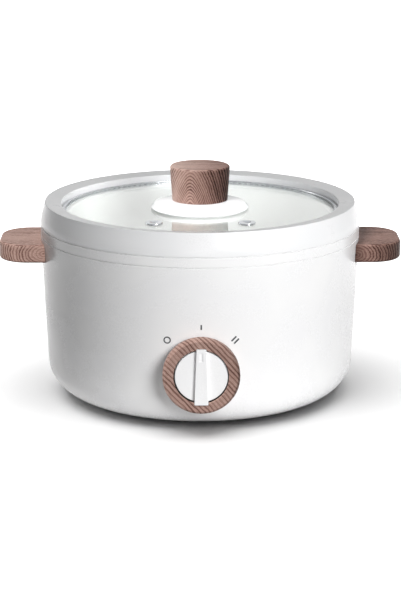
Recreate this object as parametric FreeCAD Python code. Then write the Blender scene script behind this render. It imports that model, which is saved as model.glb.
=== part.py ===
import FreeCAD, Part
import math
import os

# Countertop electric hot pot with a lift-off glass lid.
# Millimetres. The origin is on the body's axis, level with the soles of the feet.
# +Z is up, and the dial faces -Y. Each sub-part is written as its own STEP file.

# Lower shell
body_radius = 131.0            # outside, at the shell's top edge
side_taper = 5.5               # how far the side draws in, down to the base
base_round = 28.0
base_round_step = 6.0          # the inner round is this much smaller
shell_top = 134.6
shell_wall = 2.5
foot_height = 3.5
cover_rim_width = 1.5          # flat left between the base's round and the recess
cover_ledge_width = 11.0
top_edge_round = 0.3

# Trim band and upper collar
band_height = 8.8
groove_height = 0.8
groove_depth = 1.0
tongue_wall = 2.5
tongue_depth = 4.2
tongue_clearance = 0.2
collar_straight = 4.1
collar_bend_round = 36.0
collar_height = 18.6
collar_draw = 3.8              # how far the collar draws in, up to its rim
collar_wall = 2.5
rim_width = 13.3
rim_fall = 1.7
rim_outer_round = 0.6
rim_inner_round = 0.9
ledge_width = 4.3
ledge_thickness = 2.5

# Inner pot
pot_flange_depth = 11.3        # below the rim's inner edge
pot_flange_thickness = 2.0
pot_flange_width = 7.4
pot_draw = 6.0                 # how far the pot's wall draws in, down to its floor
pot_floor_top = 58.0
pot_wall = 2.5
pot_corner_round = 16.0
pot_lip_round = 1.4
gasket_thickness = 1.0
lid_side_clearance = 0.5

# Heating plate, tubular elements and their clamps
plate_inset = 20.0             # from the edge of the pot's floor
plate_thickness = 3.0
element_tube_radius = 3.3
outer_element_inset = 8.0      # from the plate's edge
element_spacing = 18.0
element_leg_spread = 18.5
element_bend_radius = 9.0
element_leg_reach = 7.0        # below the shield
clamp_thickness = 1.2
clamp_width = 12.0
clamp_count = 3
clamp_first_angle = 90.0
clamp_screw_radius = 1.9
clamp_head_radius = 3.6
clamp_head_height = 2.0
plate_hole_depth = 2.2

# Studs, heat shield and tie rods, three on one circle
stud_inset = 14.0              # from the inner element
stud_count = 3
stud_first_angle = 30.0
stud_radius = 2.5
stud_reach = 8.0               # below the shield
shield_overhang = 6.0          # beyond the plate's edge
shield_thickness = 0.8
shield_drop = 18.5             # below the plate
shield_rim_height = 10.0
nut_across_flats = 8.0
nut_height = 4.0
rod_across_flats = 9.0
tie_screw_radius = 2.0
tie_screw_length = 12.0
bushing_radius = 5.4
bushing_overhang = 1.2
bushing_height = 5.0
hole_clearance = 0.1

# Thermostat and its bracket
thermostat_radius = 8.0
thermostat_height = 10.0
thermostat_flange_radius = 9.6
thermostat_flange_height = 1.0
thermostat_flange_drop = 6.0
thermostat_tab_spacing = 8.0
bracket_thickness = 0.8
bracket_width = 20.0
bracket_leg_offset = 12.5
bracket_ear_length = 9.0
bracket_screw_radius = 1.5
bracket_head_radius = 2.8
bracket_head_height = 1.6
shield_centre_hole_radius = 14.0

# Spade tabs of every terminal
tab_width = 6.3
tab_thickness = 0.8
tab_length = 7.0

# Thermal fuse, lying under the heat shield
fuse_radius = 2.2
fuse_length = 18.0
fuse_inset = 29.0              # from the shield's edge
fuse_y = 6.0
fuse_clip_thickness = 0.8
fuse_clip_width = 8.0
fuse_clip_ear = 6.0

# Bottom cover, its screws and the feet
cover_thickness = 2.5
cover_clearance = 0.4
base_screw_count = 6
base_boss_radius = 3.5
base_boss_height = 11.5
base_screw_radius = 1.4
base_screw_length = 12.0
base_head_radius = 3.0
base_head_height = 1.7
foot_radius = 9.0
foot_neck_radius = 3.5
foot_bulb_radius = 4.6
foot_bulb_height = 2.4
foot_bulb_clearance = 1.4      # inside the shell's opening
foot_edge_round = 1.0
vent_slot_count = 5
vent_slot_width = 3.0
vent_slot_length = 30.0
vent_slot_spacing = 8.0

# Side handles
handle_standout = 33.6         # beyond the body's side
handle_width = 70.0
handle_corner_round = 24.0
handle_drop = 3.6              # below the shell's top edge
handle_thickness = 15.0
handle_edge_round = 2.2
handle_seat_clearance = 0.15
handle_screw_spacing = 36.0
handle_screw_radius = 1.8
handle_screw_bite = 19.0
handle_head_radius = 3.6
handle_head_height = 2.4
handle_plate_thickness = 2.0
handle_plate_length = 50.0
handle_plate_height = 10.0
handle_pad_radius = 6.0
handle_pad_rise = 2.3          # inwards from the shell's wall

# Dial and rotary switch, on an axis along -Y
dial_height = 50.6
dial_overhang = 2.3            # beyond the boss
dial_boss_standout = 1.6       # in front of the shell's side
dial_boss_round = 0.8
switch_pad_radius = 19.0
switch_pad_rise = 0.1          # inwards from the shell's wall
switch_width = 28.0
switch_height = 26.0
switch_depth = 15.0
switch_corner_round = 3.0
switch_bush_radius = 4.8
switch_bush_standout = 2.7     # in front of the boss
switch_tab_spacing = 8.0
switch_tab_drop = 6.0
switch_nut_flats = 14.0
switch_nut_height = 2.5
shaft_radius = 3.0
shaft_flat = 2.1
shaft_inset = 10.5             # behind the switch's seat
shaft_standout = 8.8          # in front of the boss
running_clearance = 0.05
dial_radius = 30.1
dial_ring_width = 8.7
dial_gap = 0.8                 # between boss and dial
dial_thickness = 9.0
dial_bevel_width = 1.8
dial_bevel_depth = 2.2
dial_edge_round = 0.7
face_flange_width = 4.0        # behind the ring
face_flange_clearance = 0.15
face_flange_thickness = 2.8
face_bush_clearance = 0.3
face_gap = 0.9                 # between face and ring
face_rise = 2.2                # in front of the flange
face_edge_round = 0.4
grip_rise = 1.0                # in front of the ring
grip_notch_depth = 1.1         # outwards into the ring
grip_half_width_top = 3.9
grip_half_width_bottom = 5.6
grip_end_round = 1.0
grip_edge_round = 0.6
grip_notch_clearance = 0.25
pointer_slot_width = 2.7
pointer_slot_length = 7.2
pointer_slot_depth = 0.7
pointer_slot_end_gap = 3.0

# Marks printed around the dial: O, I and II
mark_distance = 7.1            # outwards from the dial
mark_angle_step = 45.0
mark_thickness = 0.12
off_mark_radius = 2.9
off_mark_stroke = 1.0
low_mark_length = 4.0
low_mark_width = 1.2
high_mark_length = 5.3
high_mark_width = 1.3
high_mark_gap = 1.6

# Power inlet at the back, a recessed three-pin appliance socket
inlet_height = 42.0
inlet_pad_width = 62.0
inlet_pad_height = 34.0
inlet_pad_standout = 2.4       # beyond the shell's side
inlet_pad_round = 4.0
inlet_bezel_width = 50.0
inlet_bezel_height = 28.0
inlet_bezel_thickness = 2.5
inlet_bezel_round = 3.0
inlet_body_width = 29.0
inlet_body_height = 21.5
inlet_body_depth = 17.5
inlet_body_round = 2.0
inlet_socket_width = 24.6
inlet_socket_height = 17.0
inlet_socket_depth = 17.0
inlet_socket_chamfer = 5.0
inlet_cutout_clearance = 0.3
pin_width = 4.0
pin_thickness = 2.0
pin_length = 11.5
pin_spacing = 14.0
earth_pin_rise = 4.0
pin_edge_round = 0.5
inlet_screw_inset = 5.0        # from the bezel's end
inlet_screw_radius = 1.5
inlet_screw_length = 6.0
inlet_head_radius = 2.9
inlet_head_height = 1.4

# Internal wires
wire_radius = 1.3
wire_level = 15.0

# Lid, resting on the pot's flange
rim_sheet = 0.6
seal_thickness = 0.6
glass_thickness = 4.0
glass_edge_seal = 1.3
rim_lip_width = 2.9
seal_lip_width = 3.3
glass_bore_radius = 3.2
lid_collar_radius = 40.4
lid_collar_seat_inset = 1.5
lid_collar_edge_inset = 3.0
lid_collar_bulge_height = 1.6
lid_collar_edge_height = 4.8
lid_collar_height = 7.5
lid_collar_wall = 2.2
lid_collar_boss_radius = 7.0
knob_seat_margin = 0.5
knob_base_radius = 22.7
knob_top_radius = 24.7
knob_height = 28.7
knob_top_round = 2.0
knob_base_round = 0.4
insert_radius = 4.0
insert_length = 12.0
insert_end_room = 2.0
knob_screw_radius = 2.0
knob_screw_head_radius = 4.0
knob_screw_head_height = 2.6
knob_screw_bite = 10.0
washer_radius = 9.0
washer_thickness = 1.3
vent_x = 37.0
vent_y = -57.0
vent_flange_radius = 7.0
vent_flange_height = 0.9
vent_barrel_radius = 3.4
vent_bore_radius = 1.8
vent_lower_radius = 5.0
vent_lower_height = 0.8
vent_glass_clearance = 0.15

# Radii and levels of the shell, the collar and the pot
base_radius = body_radius - side_taper
inner_base_round = base_round - base_round_step
cover_recess_radius = base_radius - base_round - cover_rim_width
cover_opening_radius = cover_recess_radius - cover_ledge_width
base_screw_circle_radius = cover_recess_radius - cover_ledge_width / 2.0
foot_circle_radius = cover_opening_radius - foot_bulb_radius - foot_bulb_clearance
cover_seat_level = foot_height + cover_thickness
ledge_top_level = cover_seat_level + shell_wall
band_top = shell_top + band_height
collar_top = band_top + collar_height
collar_top_radius = body_radius - collar_draw
rim_inner_radius = collar_top_radius - rim_width
rim_inner_level = collar_top - rim_fall
ledge_inner_radius = rim_inner_radius - ledge_width
tongue_outer_radius = body_radius - shell_wall - 3.0 * tongue_clearance
band_inner_radius = tongue_outer_radius + tongue_clearance
pot_flange_top = rim_inner_level - pot_flange_depth
pot_flange_bottom = pot_flange_top - pot_flange_thickness
ledge_level = pot_flange_bottom - gasket_thickness
lid_radius = rim_inner_radius - lid_side_clearance
pot_top_radius = lid_radius - pot_flange_width
pot_floor_radius = pot_top_radius - pot_draw
pot_underside = pot_floor_top - pot_wall

# Everything that hangs under the pot
plate_radius = pot_floor_radius - plate_inset
plate_underside = pot_underside - plate_thickness
outer_element_radius = plate_radius - outer_element_inset
inner_element_radius = outer_element_radius - element_spacing
element_mid_radius = (outer_element_radius + inner_element_radius) / 2.0
element_level = plate_underside - element_tube_radius
element_underside = element_level - element_tube_radius
clamp_underside = element_underside - clamp_thickness
thermostat_bottom = plate_underside - thermostat_height
shield_radius = plate_radius + shield_overhang
shield_underside = plate_underside - shield_drop
shield_upper_face = shield_underside + shield_thickness
element_leg_bottom = shield_underside - element_leg_reach
stud_circle_radius = inner_element_radius - stud_inset
stud_bottom = shield_underside - stud_reach
fuse_x = shield_radius - fuse_inset

# Handles, dial and lid
handle_reach = body_radius + handle_standout
handle_top = shell_top - handle_drop
handle_middle = handle_top - handle_thickness / 2.0
dial_boss_radius = dial_radius - dial_overhang
dial_inner_radius = dial_radius - dial_ring_width
dial_seat_radius = dial_inner_radius + face_flange_width
face_radius = dial_inner_radius - face_gap
grip_half_length = dial_inner_radius + grip_notch_depth
mark_circle_radius = dial_radius + mark_distance
glass_bottom = pot_flange_top + rim_sheet + seal_thickness
glass_top = glass_bottom + glass_thickness
lid_rim_top = glass_top + seal_thickness + rim_sheet
seal_outer_radius = lid_radius - rim_sheet
glass_radius = seal_outer_radius - glass_edge_seal
lid_collar_seat_radius = lid_collar_radius - lid_collar_seat_inset
lid_collar_edge_radius = lid_collar_radius - lid_collar_edge_inset
lid_collar_top = glass_top + lid_collar_height


def side_radius(level):
    """Outside radius of the tapered shell at a height."""
    share = (level - foot_height) / (shell_top - foot_height)
    return base_radius + (body_radius - base_radius) * share


def chord_depth(radius, offset):
    """How far out a circle's edge lies, at an offset to the side."""
    return math.sqrt(radius ** 2 - offset ** 2)


# Depths of dial, switch and inlet, as distances from the body's axis
dial_boss_front = side_radius(dial_height) + dial_boss_standout
switch_wall = chord_depth(side_radius(dial_height) - shell_wall, switch_pad_radius)
switch_seat = switch_wall - switch_pad_rise
switch_bush_front = dial_boss_front + switch_bush_standout
shaft_back = switch_seat - shaft_inset
shaft_front = dial_boss_front + shaft_standout
dial_back = dial_boss_front + dial_gap
dial_front = dial_back + dial_thickness
face_flange_back = switch_bush_front + face_bush_clearance
face_flange_front = face_flange_back + face_flange_thickness
face_front = face_flange_front + face_rise
grip_front = dial_front + grip_rise
inlet_pad_front = side_radius(inlet_height) + inlet_pad_standout
inlet_bezel_front = inlet_pad_front + inlet_bezel_thickness
inlet_socket_floor = inlet_bezel_front - inlet_socket_depth
inlet_body_back = inlet_pad_front - inlet_body_depth

X = FreeCAD.Vector(1, 0, 0)
Y = FreeCAD.Vector(0, 1, 0)
Z = FreeCAD.Vector(0, 0, 1)
ORIGIN = FreeCAD.Vector(0, 0, 0)


def point(first, second):
    """A point of a profile in the XZ plane."""
    return FreeCAD.Vector(first, 0, second)


def rounded_wire(corners):
    """A closed wire through corners (a, b) or (a, b, round), each round a tangent arc."""
    count = len(corners)
    edges = []
    starts = []
    ends = []
    middles = []
    for index, corner in enumerate(corners):
        here = point(corner[0], corner[1])
        radius = corner[2] if len(corner) > 2 else 0.0
        if radius <= 0.0:
            starts.append(here)
            ends.append(here)
            middles.append(None)
            continue
        before = corners[index - 1]
        after = corners[(index + 1) % count]
        back = (point(before[0], before[1]) - here).normalize()
        ahead = (point(after[0], after[1]) - here).normalize()
        half = back.getAngle(ahead) / 2.0
        reach = radius / math.tan(half)
        bisector = (back + ahead).normalize()
        centre = here + bisector * (radius / math.sin(half))
        starts.append(here + back * reach)
        ends.append(here + ahead * reach)
        middles.append(centre - bisector * radius)
    for index in range(count):
        if middles[index] is not None:
            edges.append(Part.Arc(starts[index], middles[index], ends[index]).toShape())
        following = starts[(index + 1) % count]
        if (following - ends[index]).Length > 1e-7:
            edges.append(Part.LineSegment(ends[index], following).toShape())
    return Part.Wire(edges)


def turned(corners):
    """A solid of revolution about Z, from a profile of (radius, height, round) corners."""
    return Part.Face(rounded_wire(corners)).revolve(ORIGIN, Z, 360)


def cylinder(radius, low, high, x=0.0, y=0.0):
    """An upright cylinder between two heights."""
    return Part.makeCylinder(radius, high - low, FreeCAD.Vector(x, y, low), Z)


def tube(outer, inner, low, high, x=0.0, y=0.0):
    """An upright tube between two heights."""
    return cylinder(outer, low, high, x, y).cut(cylinder(inner, low - 1.0, high + 1.0, x, y))


def block(x_low, x_high, y_low, y_high, z_low, z_high):
    """A box between two corners."""
    corner = FreeCAD.Vector(x_low, y_low, z_low)
    return Part.makeBox(x_high - x_low, y_high - y_low, z_high - z_low, corner)


def prism(corners, low, high):
    """An upright prism on an outline of (x, y, round) corners."""
    outline = rounded_wire(corners)
    outline.rotate(ORIGIN, X, -90)
    flat = Part.Face(outline)
    flat.translate(Z * low)
    return flat.extrude(Z * (high - low))


def rounded_bar(width, height, corner_round, low, high):
    """An upright prism on a centred rectangle with rounded corners."""
    a = width / 2.0
    b = height / 2.0
    corners = [(-a, -b), (a, -b), (a, b), (-a, b)]
    return prism([(p, q, corner_round) for p, q in corners], low, high)


def hexagon(across_flats, low, high):
    """An upright hexagonal prism about Z."""
    corner = across_flats / math.sqrt(3.0)
    angles = [math.radians(60.0 * step) for step in range(6)]
    return prism([(corner * math.cos(a), corner * math.sin(a)) for a in angles], low, high)


def moved(shape, x=0.0, y=0.0, z=0.0):
    """A copy of a shape, shifted."""
    result = shape.copy()
    result.translate(FreeCAD.Vector(x, y, z))
    return result


def turned_about_z(shape, degrees):
    """A copy of a shape, turned about the body's axis."""
    result = shape.copy()
    result.rotate(ORIGIN, Z, degrees)
    return result


def facing_front(shape, level):
    """Takes a shape built along +Z to face -Y, on an axis at a height."""
    result = shape.copy()
    result.rotate(ORIGIN, X, 90)
    result.translate(Z * level)
    return result


def facing_back(shape, level):
    """Takes a shape built along +Z to face +Y, on an axis at a height."""
    result = facing_front(shape, 0.0)
    result.rotate(ORIGIN, Z, 180)
    result.translate(Z * level)
    return result


def on_circle(radius, angle):
    """The x and y of a point on a circle about the body's axis."""
    return radius * math.cos(math.radians(angle)), radius * math.sin(math.radians(angle))


def ring_places(radius, count, first_angle):
    """Evenly spaced places on a circle about the body's axis."""
    return [on_circle(radius, first_angle + 360.0 * step / count) for step in range(count)]


def fused(shapes):
    """One solid from shapes that overlap."""
    return shapes[0].multiFuse(shapes[1:]).removeSplitter()


def group(shapes):
    """Separate solids held in one node."""
    return Part.makeCompound(shapes)


def rounded_edges(shape, radius, wanted):
    """Rounds the edges for which wanted(edge) is true."""
    edges = [edge for edge in shape.Edges if wanted(edge)]
    return shape.makeFillet(radius, edges)


def run_path(points):
    """Straight runs joined by tangent arcs, as large as their runs allow."""
    corners = [FreeCAD.Vector(*p) for p in points]
    edges = []
    here = corners[0]
    for before, corner, after in zip(corners, corners[1:], corners[2:]):
        back = (before - corner).normalize()
        ahead = (after - corner).normalize()
        half = back.getAngle(ahead) / 2.0
        goes_straight_on = half > math.pi / 2.0 - 1e-6
        if goes_straight_on:
            continue
        shorter = min((before - corner).Length, (after - corner).Length)
        reach = 0.45 * shorter
        radius = reach * math.tan(half)
        bisector = (back + ahead).normalize()
        middle = corner + bisector * (radius / math.sin(half) - radius)
        start = corner + back * reach
        end = corner + ahead * reach
        edges.append(Part.LineSegment(here, start).toShape())
        edges.append(Part.Arc(start, middle, end).toShape())
        here = end
    edges.append(Part.LineSegment(here, corners[-1]).toShape())
    return Part.Wire(edges)


def wire_along(points):
    """A round insulated wire along a path."""
    path = run_path(points)
    direction = FreeCAD.Vector(*points[1]) - FreeCAD.Vector(*points[0])
    section = Part.makeCircle(wire_radius, FreeCAD.Vector(*points[0]), direction)
    return path.makePipeShell([Part.Wire(section)], True, True)


# Lower housing


def make_outer_shell():
    """Tapered outer wall with its rounded base, dial boss, inlet pad and screw bosses."""
    outside = turned([(0, foot_height),
                      (base_radius, foot_height, base_round),
                      (body_radius, shell_top, top_edge_round),
                      (0, shell_top)])
    inner_top = body_radius - shell_wall
    inner_base = side_radius(ledge_top_level) - shell_wall
    cavity = turned([(0, ledge_top_level),
                     (inner_base, ledge_top_level, inner_base_round),
                     (inner_top, shell_top),
                     (inner_top, shell_top + 1.0),
                     (0, shell_top + 1.0)])
    boss = turned([(0, dial_boss_front / 2.0),
                   (dial_boss_radius, dial_boss_front / 2.0),
                   (dial_boss_radius, dial_boss_front, dial_boss_round),
                   (0, dial_boss_front)])
    pad = rounded_bar(inlet_pad_width, inlet_pad_height, inlet_pad_round,
                      inlet_pad_front / 2.0, inlet_pad_front)
    shell = outside.multiFuse([facing_front(boss, dial_height), facing_back(pad, inlet_height)])
    shell = shell.cut(cavity)
    shell = shell.cut(cylinder(cover_opening_radius, foot_height - 1.0, ledge_top_level + 1.0))
    shell = shell.cut(cylinder(cover_recess_radius, foot_height - 1.0, cover_seat_level))

    switch_pad = cylinder(switch_pad_radius, switch_seat, dial_boss_front - 1.0)
    inner_pads = [facing_front(switch_pad, dial_height)]
    wall_middle = handle_wall_reach - shell_wall / 2.0
    for y in handle_screw_ys:
        pad = along_x(handle_pad_radius, handle_pad_face, wall_middle, y)
        inner_pads += [pad, turned_about_z(pad, 180)]
    boss_top = ledge_top_level + base_boss_height
    for x, y in base_screw_places:
        inner_pads.append(cylinder(base_boss_radius, ledge_top_level - 0.5, boss_top, x, y))
    shell = shell.multiFuse(inner_pads)

    bush_hole = cylinder(switch_bush_radius + hole_clearance,
                         dial_boss_front / 2.0, dial_boss_front + 1.0)
    holes = [facing_front(bush_hole, dial_height)]
    cutout = rounded_bar(inlet_body_width + 2.0 * inlet_cutout_clearance,
                         inlet_body_height + 2.0 * inlet_cutout_clearance,
                         inlet_body_round + inlet_cutout_clearance,
                         inlet_pad_front / 2.0, inlet_pad_front + 1.0)
    holes.append(facing_back(cutout, inlet_height))
    for x in inlet_screw_xs:
        pilot = cylinder(inlet_screw_radius + running_clearance,
                         inlet_bezel_front - inlet_screw_length, inlet_pad_front + 1.0, x)
        holes.append(facing_back(pilot, inlet_height))
    for y in handle_screw_ys:
        passage = along_x(handle_hole_radius, handle_pad_face / 2.0, handle_reach, y)
        holes += [passage, turned_about_z(passage, 180)]
    pilot_top = foot_height + base_screw_length
    for x, y in base_screw_places:
        holes.append(cylinder(base_screw_radius + running_clearance, foot_height, pilot_top, x, y))
    return shell.cut(holes)


def make_trim_band():
    """Ring between shell and collar, stepped back at both edges to leave two fine grooves."""
    step_radius = body_radius - groove_depth
    return turned([(band_inner_radius, shell_top),
                   (step_radius, shell_top),
                   (step_radius, shell_top + groove_height),
                   (body_radius, shell_top + groove_height),
                   (body_radius, band_top - groove_height),
                   (step_radius, band_top - groove_height),
                   (step_radius, band_top),
                   (band_inner_radius, band_top)])


def make_upper_collar():
    """Hollow rim around the pot, with a tongue into the shell and a ledge for the pot."""
    tongue_inner_radius = tongue_outer_radius - tongue_wall
    tongue_bottom = shell_top - tongue_depth
    bend_level = band_top + collar_straight
    inner_wall_radius = rim_inner_radius + collar_wall
    underside_fall = rim_fall + collar_wall
    lean = math.atan(collar_draw / (collar_height - collar_straight))
    room = (collar_straight - 2.0 * top_edge_round) / math.tan(lean / 2.0)
    return turned([(body_radius, band_top, top_edge_round),
                   (body_radius, bend_level, min(collar_bend_round, room)),
                   (collar_top_radius, collar_top, rim_outer_round),
                   (rim_inner_radius, rim_inner_level, rim_inner_round),
                   (rim_inner_radius, ledge_level),
                   (ledge_inner_radius, ledge_level),
                   (ledge_inner_radius, ledge_level - ledge_thickness),
                   (inner_wall_radius, ledge_level - ledge_thickness),
                   (inner_wall_radius, collar_top - underside_fall),
                   (collar_top_radius - collar_wall, collar_top - collar_wall),
                   (body_radius - collar_wall, bend_level),
                   (body_radius - collar_wall, band_top + collar_wall),
                   (tongue_inner_radius, band_top + collar_wall),
                   (tongue_inner_radius, tongue_bottom),
                   (tongue_outer_radius, tongue_bottom),
                   (tongue_outer_radius, band_top)])


def make_bottom_cover():
    """Round cover in the shell's recess, with holes for screws and feet, and vent slots."""
    cover = cylinder(cover_recess_radius - cover_clearance, foot_height, cover_seat_level)
    low = foot_height - 1.0
    high = cover_seat_level + 1.0
    holes = []
    for x, y in base_screw_places:
        holes.append(cylinder(base_screw_radius + 3.0 * hole_clearance, low, high, x, y))
    for x, y in stud_places:
        holes.append(cylinder(tie_screw_radius + 3.0 * hole_clearance, low, high, x, y))
    for x, y in foot_places:
        holes.append(cylinder(foot_neck_radius + hole_clearance, low, high, x, y))
    slot = rounded_bar(vent_slot_length, vent_slot_width, 0.49 * vent_slot_width, low, high)
    for index in range(vent_slot_count):
        offset = (index - (vent_slot_count - 1) / 2.0) * vent_slot_spacing
        holes.append(moved(slot, 0.0, offset))
    return cover.cut(holes)


def make_foot(x, y):
    """Push-in rubber foot, held in the cover by its bulb."""
    foot = turned([(0, 0),
                   (foot_radius, 0, foot_edge_round),
                   (foot_radius, foot_height),
                   (foot_neck_radius, foot_height),
                   (foot_neck_radius, cover_seat_level),
                   (foot_bulb_radius, cover_seat_level),
                   (foot_neck_radius, cover_seat_level + foot_bulb_height),
                   (0, cover_seat_level + foot_bulb_height)])
    return moved(foot, x, y)


def make_base_screws():
    """Pan-head screws that hold the cover to the shell's bosses."""
    screw = cylinder(base_head_radius, foot_height - base_head_height, foot_height)
    screw = fused([screw, cylinder(base_screw_radius, foot_height - 0.5,
                                   foot_height + base_screw_length - 0.5)])
    return group([moved(screw, x, y) for x, y in base_screw_places])


# Inner pot and heating plate


def make_pot_gasket():
    """Flat silicone ring between the collar's ledge and the pot's flange."""
    return tube(lid_radius, ledge_inner_radius, ledge_level, pot_flange_bottom)


def make_inner_pot():
    """Flanged cooking pot with a rounded bottom corner."""
    return turned([(0, pot_floor_top),
                   (pot_floor_radius, pot_floor_top, pot_corner_round),
                   (pot_top_radius, pot_flange_top, pot_lip_round),
                   (lid_radius, pot_flange_top),
                   (lid_radius, pot_flange_bottom),
                   (pot_top_radius + pot_wall, pot_flange_bottom),
                   (pot_floor_radius + pot_wall, pot_underside, pot_corner_round + pot_wall),
                   (0, pot_underside)])


def make_heat_plate():
    """Aluminium plate bonded under the pot, drilled for the clamp and bracket screws."""
    plate = cylinder(plate_radius, plate_underside, pot_underside)
    hole_top = plate_underside + plate_hole_depth
    low = plate_underside - 1.0
    holes = []
    for x, y in clamp_places:
        holes.append(cylinder(clamp_screw_radius + running_clearance, low, hole_top, x, y))
    for x in bracket_screw_xs:
        holes.append(cylinder(bracket_screw_radius + running_clearance, low, hole_top, x))
    return plate.cut(holes)


def element_end(ring_radius):
    """Right-hand end of an element's ring, and the level direction towards its leg."""
    angle = math.asin(element_leg_spread / ring_radius) + element_bend_radius / ring_radius
    angle -= math.pi / 2.0
    across = math.cos(angle)
    along = math.sin(angle)
    tip = FreeCAD.Vector(ring_radius * across, ring_radius * along, element_level)
    return tip, FreeCAD.Vector(along, -across, 0)


def element_leg(ring_radius, side):
    """Where a leg of an element goes down; side is 1 for the right leg and -1 for the left."""
    tip, towards = element_end(ring_radius)
    leg = tip + towards * element_bend_radius
    return side * leg.x, leg.y


def make_element(ring_radius):
    """Tubular heating element: an open ring whose two ends bend down into terminal legs."""
    bend = element_bend_radius
    tip, towards = element_end(ring_radius)
    bend_centre = tip - Z * bend
    bend_middle = bend_centre + (towards + Z) * (bend / math.sqrt(2.0))
    bend_end = bend_centre + towards * bend
    leg_foot = FreeCAD.Vector(bend_end.x, bend_end.y, element_leg_bottom)
    right = [leg_foot, bend_end, bend_middle, tip]
    left = [FreeCAD.Vector(-p.x, p.y, p.z) for p in right]
    far_side = FreeCAD.Vector(0, ring_radius, element_level)
    edges = [Part.LineSegment(right[0], right[1]).toShape(),
             Part.Arc(right[1], right[2], right[3]).toShape(),
             Part.Arc(right[3], far_side, left[3]).toShape(),
             Part.Arc(left[3], left[2], left[1]).toShape(),
             Part.LineSegment(left[1], left[0]).toShape()]
    section = Part.makeCircle(element_tube_radius, leg_foot, Z)
    return Part.Wire(edges).makePipeShell([Part.Wire(section)], True, True)


def make_element_clamps():
    """Flat straps across both elements, each with a hole for its screw."""
    inner_end = inner_element_radius - 1.5 * element_tube_radius
    outer_end = outer_element_radius + 1.5 * element_tube_radius
    straps = []
    for step in range(clamp_count):
        strap = block(inner_end, outer_end, -clamp_width / 2.0, clamp_width / 2.0,
                      clamp_underside, element_underside)
        hole = cylinder(clamp_screw_radius + hole_clearance, clamp_underside - 1.0,
                        element_underside + 1.0, element_mid_radius)
        angle = clamp_first_angle + 360.0 * step / clamp_count
        straps.append(turned_about_z(strap.cut(hole), angle))
    return group(straps)


def make_clamp_screws():
    """Screws through the straps into the heating plate."""
    head = cylinder(clamp_head_radius, clamp_underside - clamp_head_height, clamp_underside)
    shank_top = plate_underside + plate_hole_depth - hole_clearance
    screw = fused([head, cylinder(clamp_screw_radius, clamp_underside - 0.5, shank_top)])
    return group([moved(screw, x, y) for x, y in clamp_places])


# Studs, heat shield and tie rods


def make_pot_studs():
    """Threaded studs welded to the heating plate."""
    return group([cylinder(stud_radius, stud_bottom, plate_underside, x, y)
                  for x, y in stud_places])


def make_heat_shield():
    """Shallow sheet-metal dish with a turned-up rim, holes for studs, legs and thermostat."""
    rim_top = shield_upper_face + shield_rim_height
    dish = cylinder(shield_radius, shield_underside, rim_top)
    dish = dish.cut(cylinder(shield_radius - shield_thickness, shield_upper_face, rim_top + 1.0))
    low = shield_underside - 1.0
    high = shield_upper_face + 1.0
    holes = [cylinder(shield_centre_hole_radius, low, high)]
    for x, y in stud_places:
        holes.append(cylinder(stud_radius + hole_clearance, low, high, x, y))
    for x, y in leg_places:
        holes.append(cylinder(bushing_radius + hole_clearance, low, high, x, y))
    return dish.cut(holes)


def make_shield_nuts():
    """Hexagonal nuts that clamp the shield on the studs."""
    nut = hexagon(nut_across_flats, shield_upper_face, shield_upper_face + nut_height)
    bore = cylinder(stud_radius + running_clearance, shield_upper_face - 1.0,
                    shield_upper_face + nut_height + 1.0)
    return group([moved(nut.cut(bore), x, y) for x, y in stud_places])


def make_tie_rods():
    """Hexagonal spacers from the shield down to the cover, bored for stud and screw."""
    rod = hexagon(rod_across_flats, cover_seat_level, shield_underside)
    upper = cylinder(stud_radius + running_clearance, stud_bottom - 1.0, shield_underside + 1.0)
    lower = cylinder(tie_screw_radius + running_clearance, cover_seat_level - 1.0,
                     foot_height + tie_screw_length + 1.0)
    return group([moved(rod.cut([upper, lower]), x, y) for x, y in stud_places])


def make_tie_screws():
    """Screws from below the cover into the tie rods; they pull the pot onto its ledge."""
    head = cylinder(2.0 * tie_screw_radius, foot_height - base_head_height, foot_height)
    shank = cylinder(tie_screw_radius, foot_height - 0.5, foot_height + tie_screw_length)
    return group([moved(fused([head, shank]), x, y) for x, y in stud_places])


def make_terminal_bushings():
    """Ceramic bushings that keep the elements' legs clear of the shield."""
    low = shield_underside - bushing_overhang
    bushing = turned([(element_tube_radius + running_clearance, low),
                      (bushing_radius, low),
                      (bushing_radius, shield_upper_face),
                      (bushing_radius + bushing_overhang, shield_upper_face),
                      (bushing_radius + bushing_overhang, low + bushing_height),
                      (element_tube_radius + running_clearance, low + bushing_height)])
    return group([moved(bushing, x, y) for x, y in leg_places])


# Thermostat and fuse


def spade_tab(x, y, low, high, turn=0.0):
    """An upright flat terminal tab."""
    tab = block(-tab_thickness / 2.0, tab_thickness / 2.0, -tab_width / 2.0, tab_width / 2.0,
                low, high)
    return moved(turned_about_z(tab, turn), x, y)


def make_thermostat():
    """Disc thermostat pressed up against the heating plate, with two tabs below."""
    flange_top = plate_underside - thermostat_flange_drop
    pieces = [cylinder(thermostat_radius, thermostat_bottom, plate_underside),
              cylinder(thermostat_flange_radius, flange_top - thermostat_flange_height,
                       flange_top)]
    for side in (-1.0, 1.0):
        x = side * thermostat_tab_spacing / 2.0
        pieces.append(spade_tab(x, 0.0, thermostat_bottom - tab_length, thermostat_bottom + 0.5))
    return fused(pieces)


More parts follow.
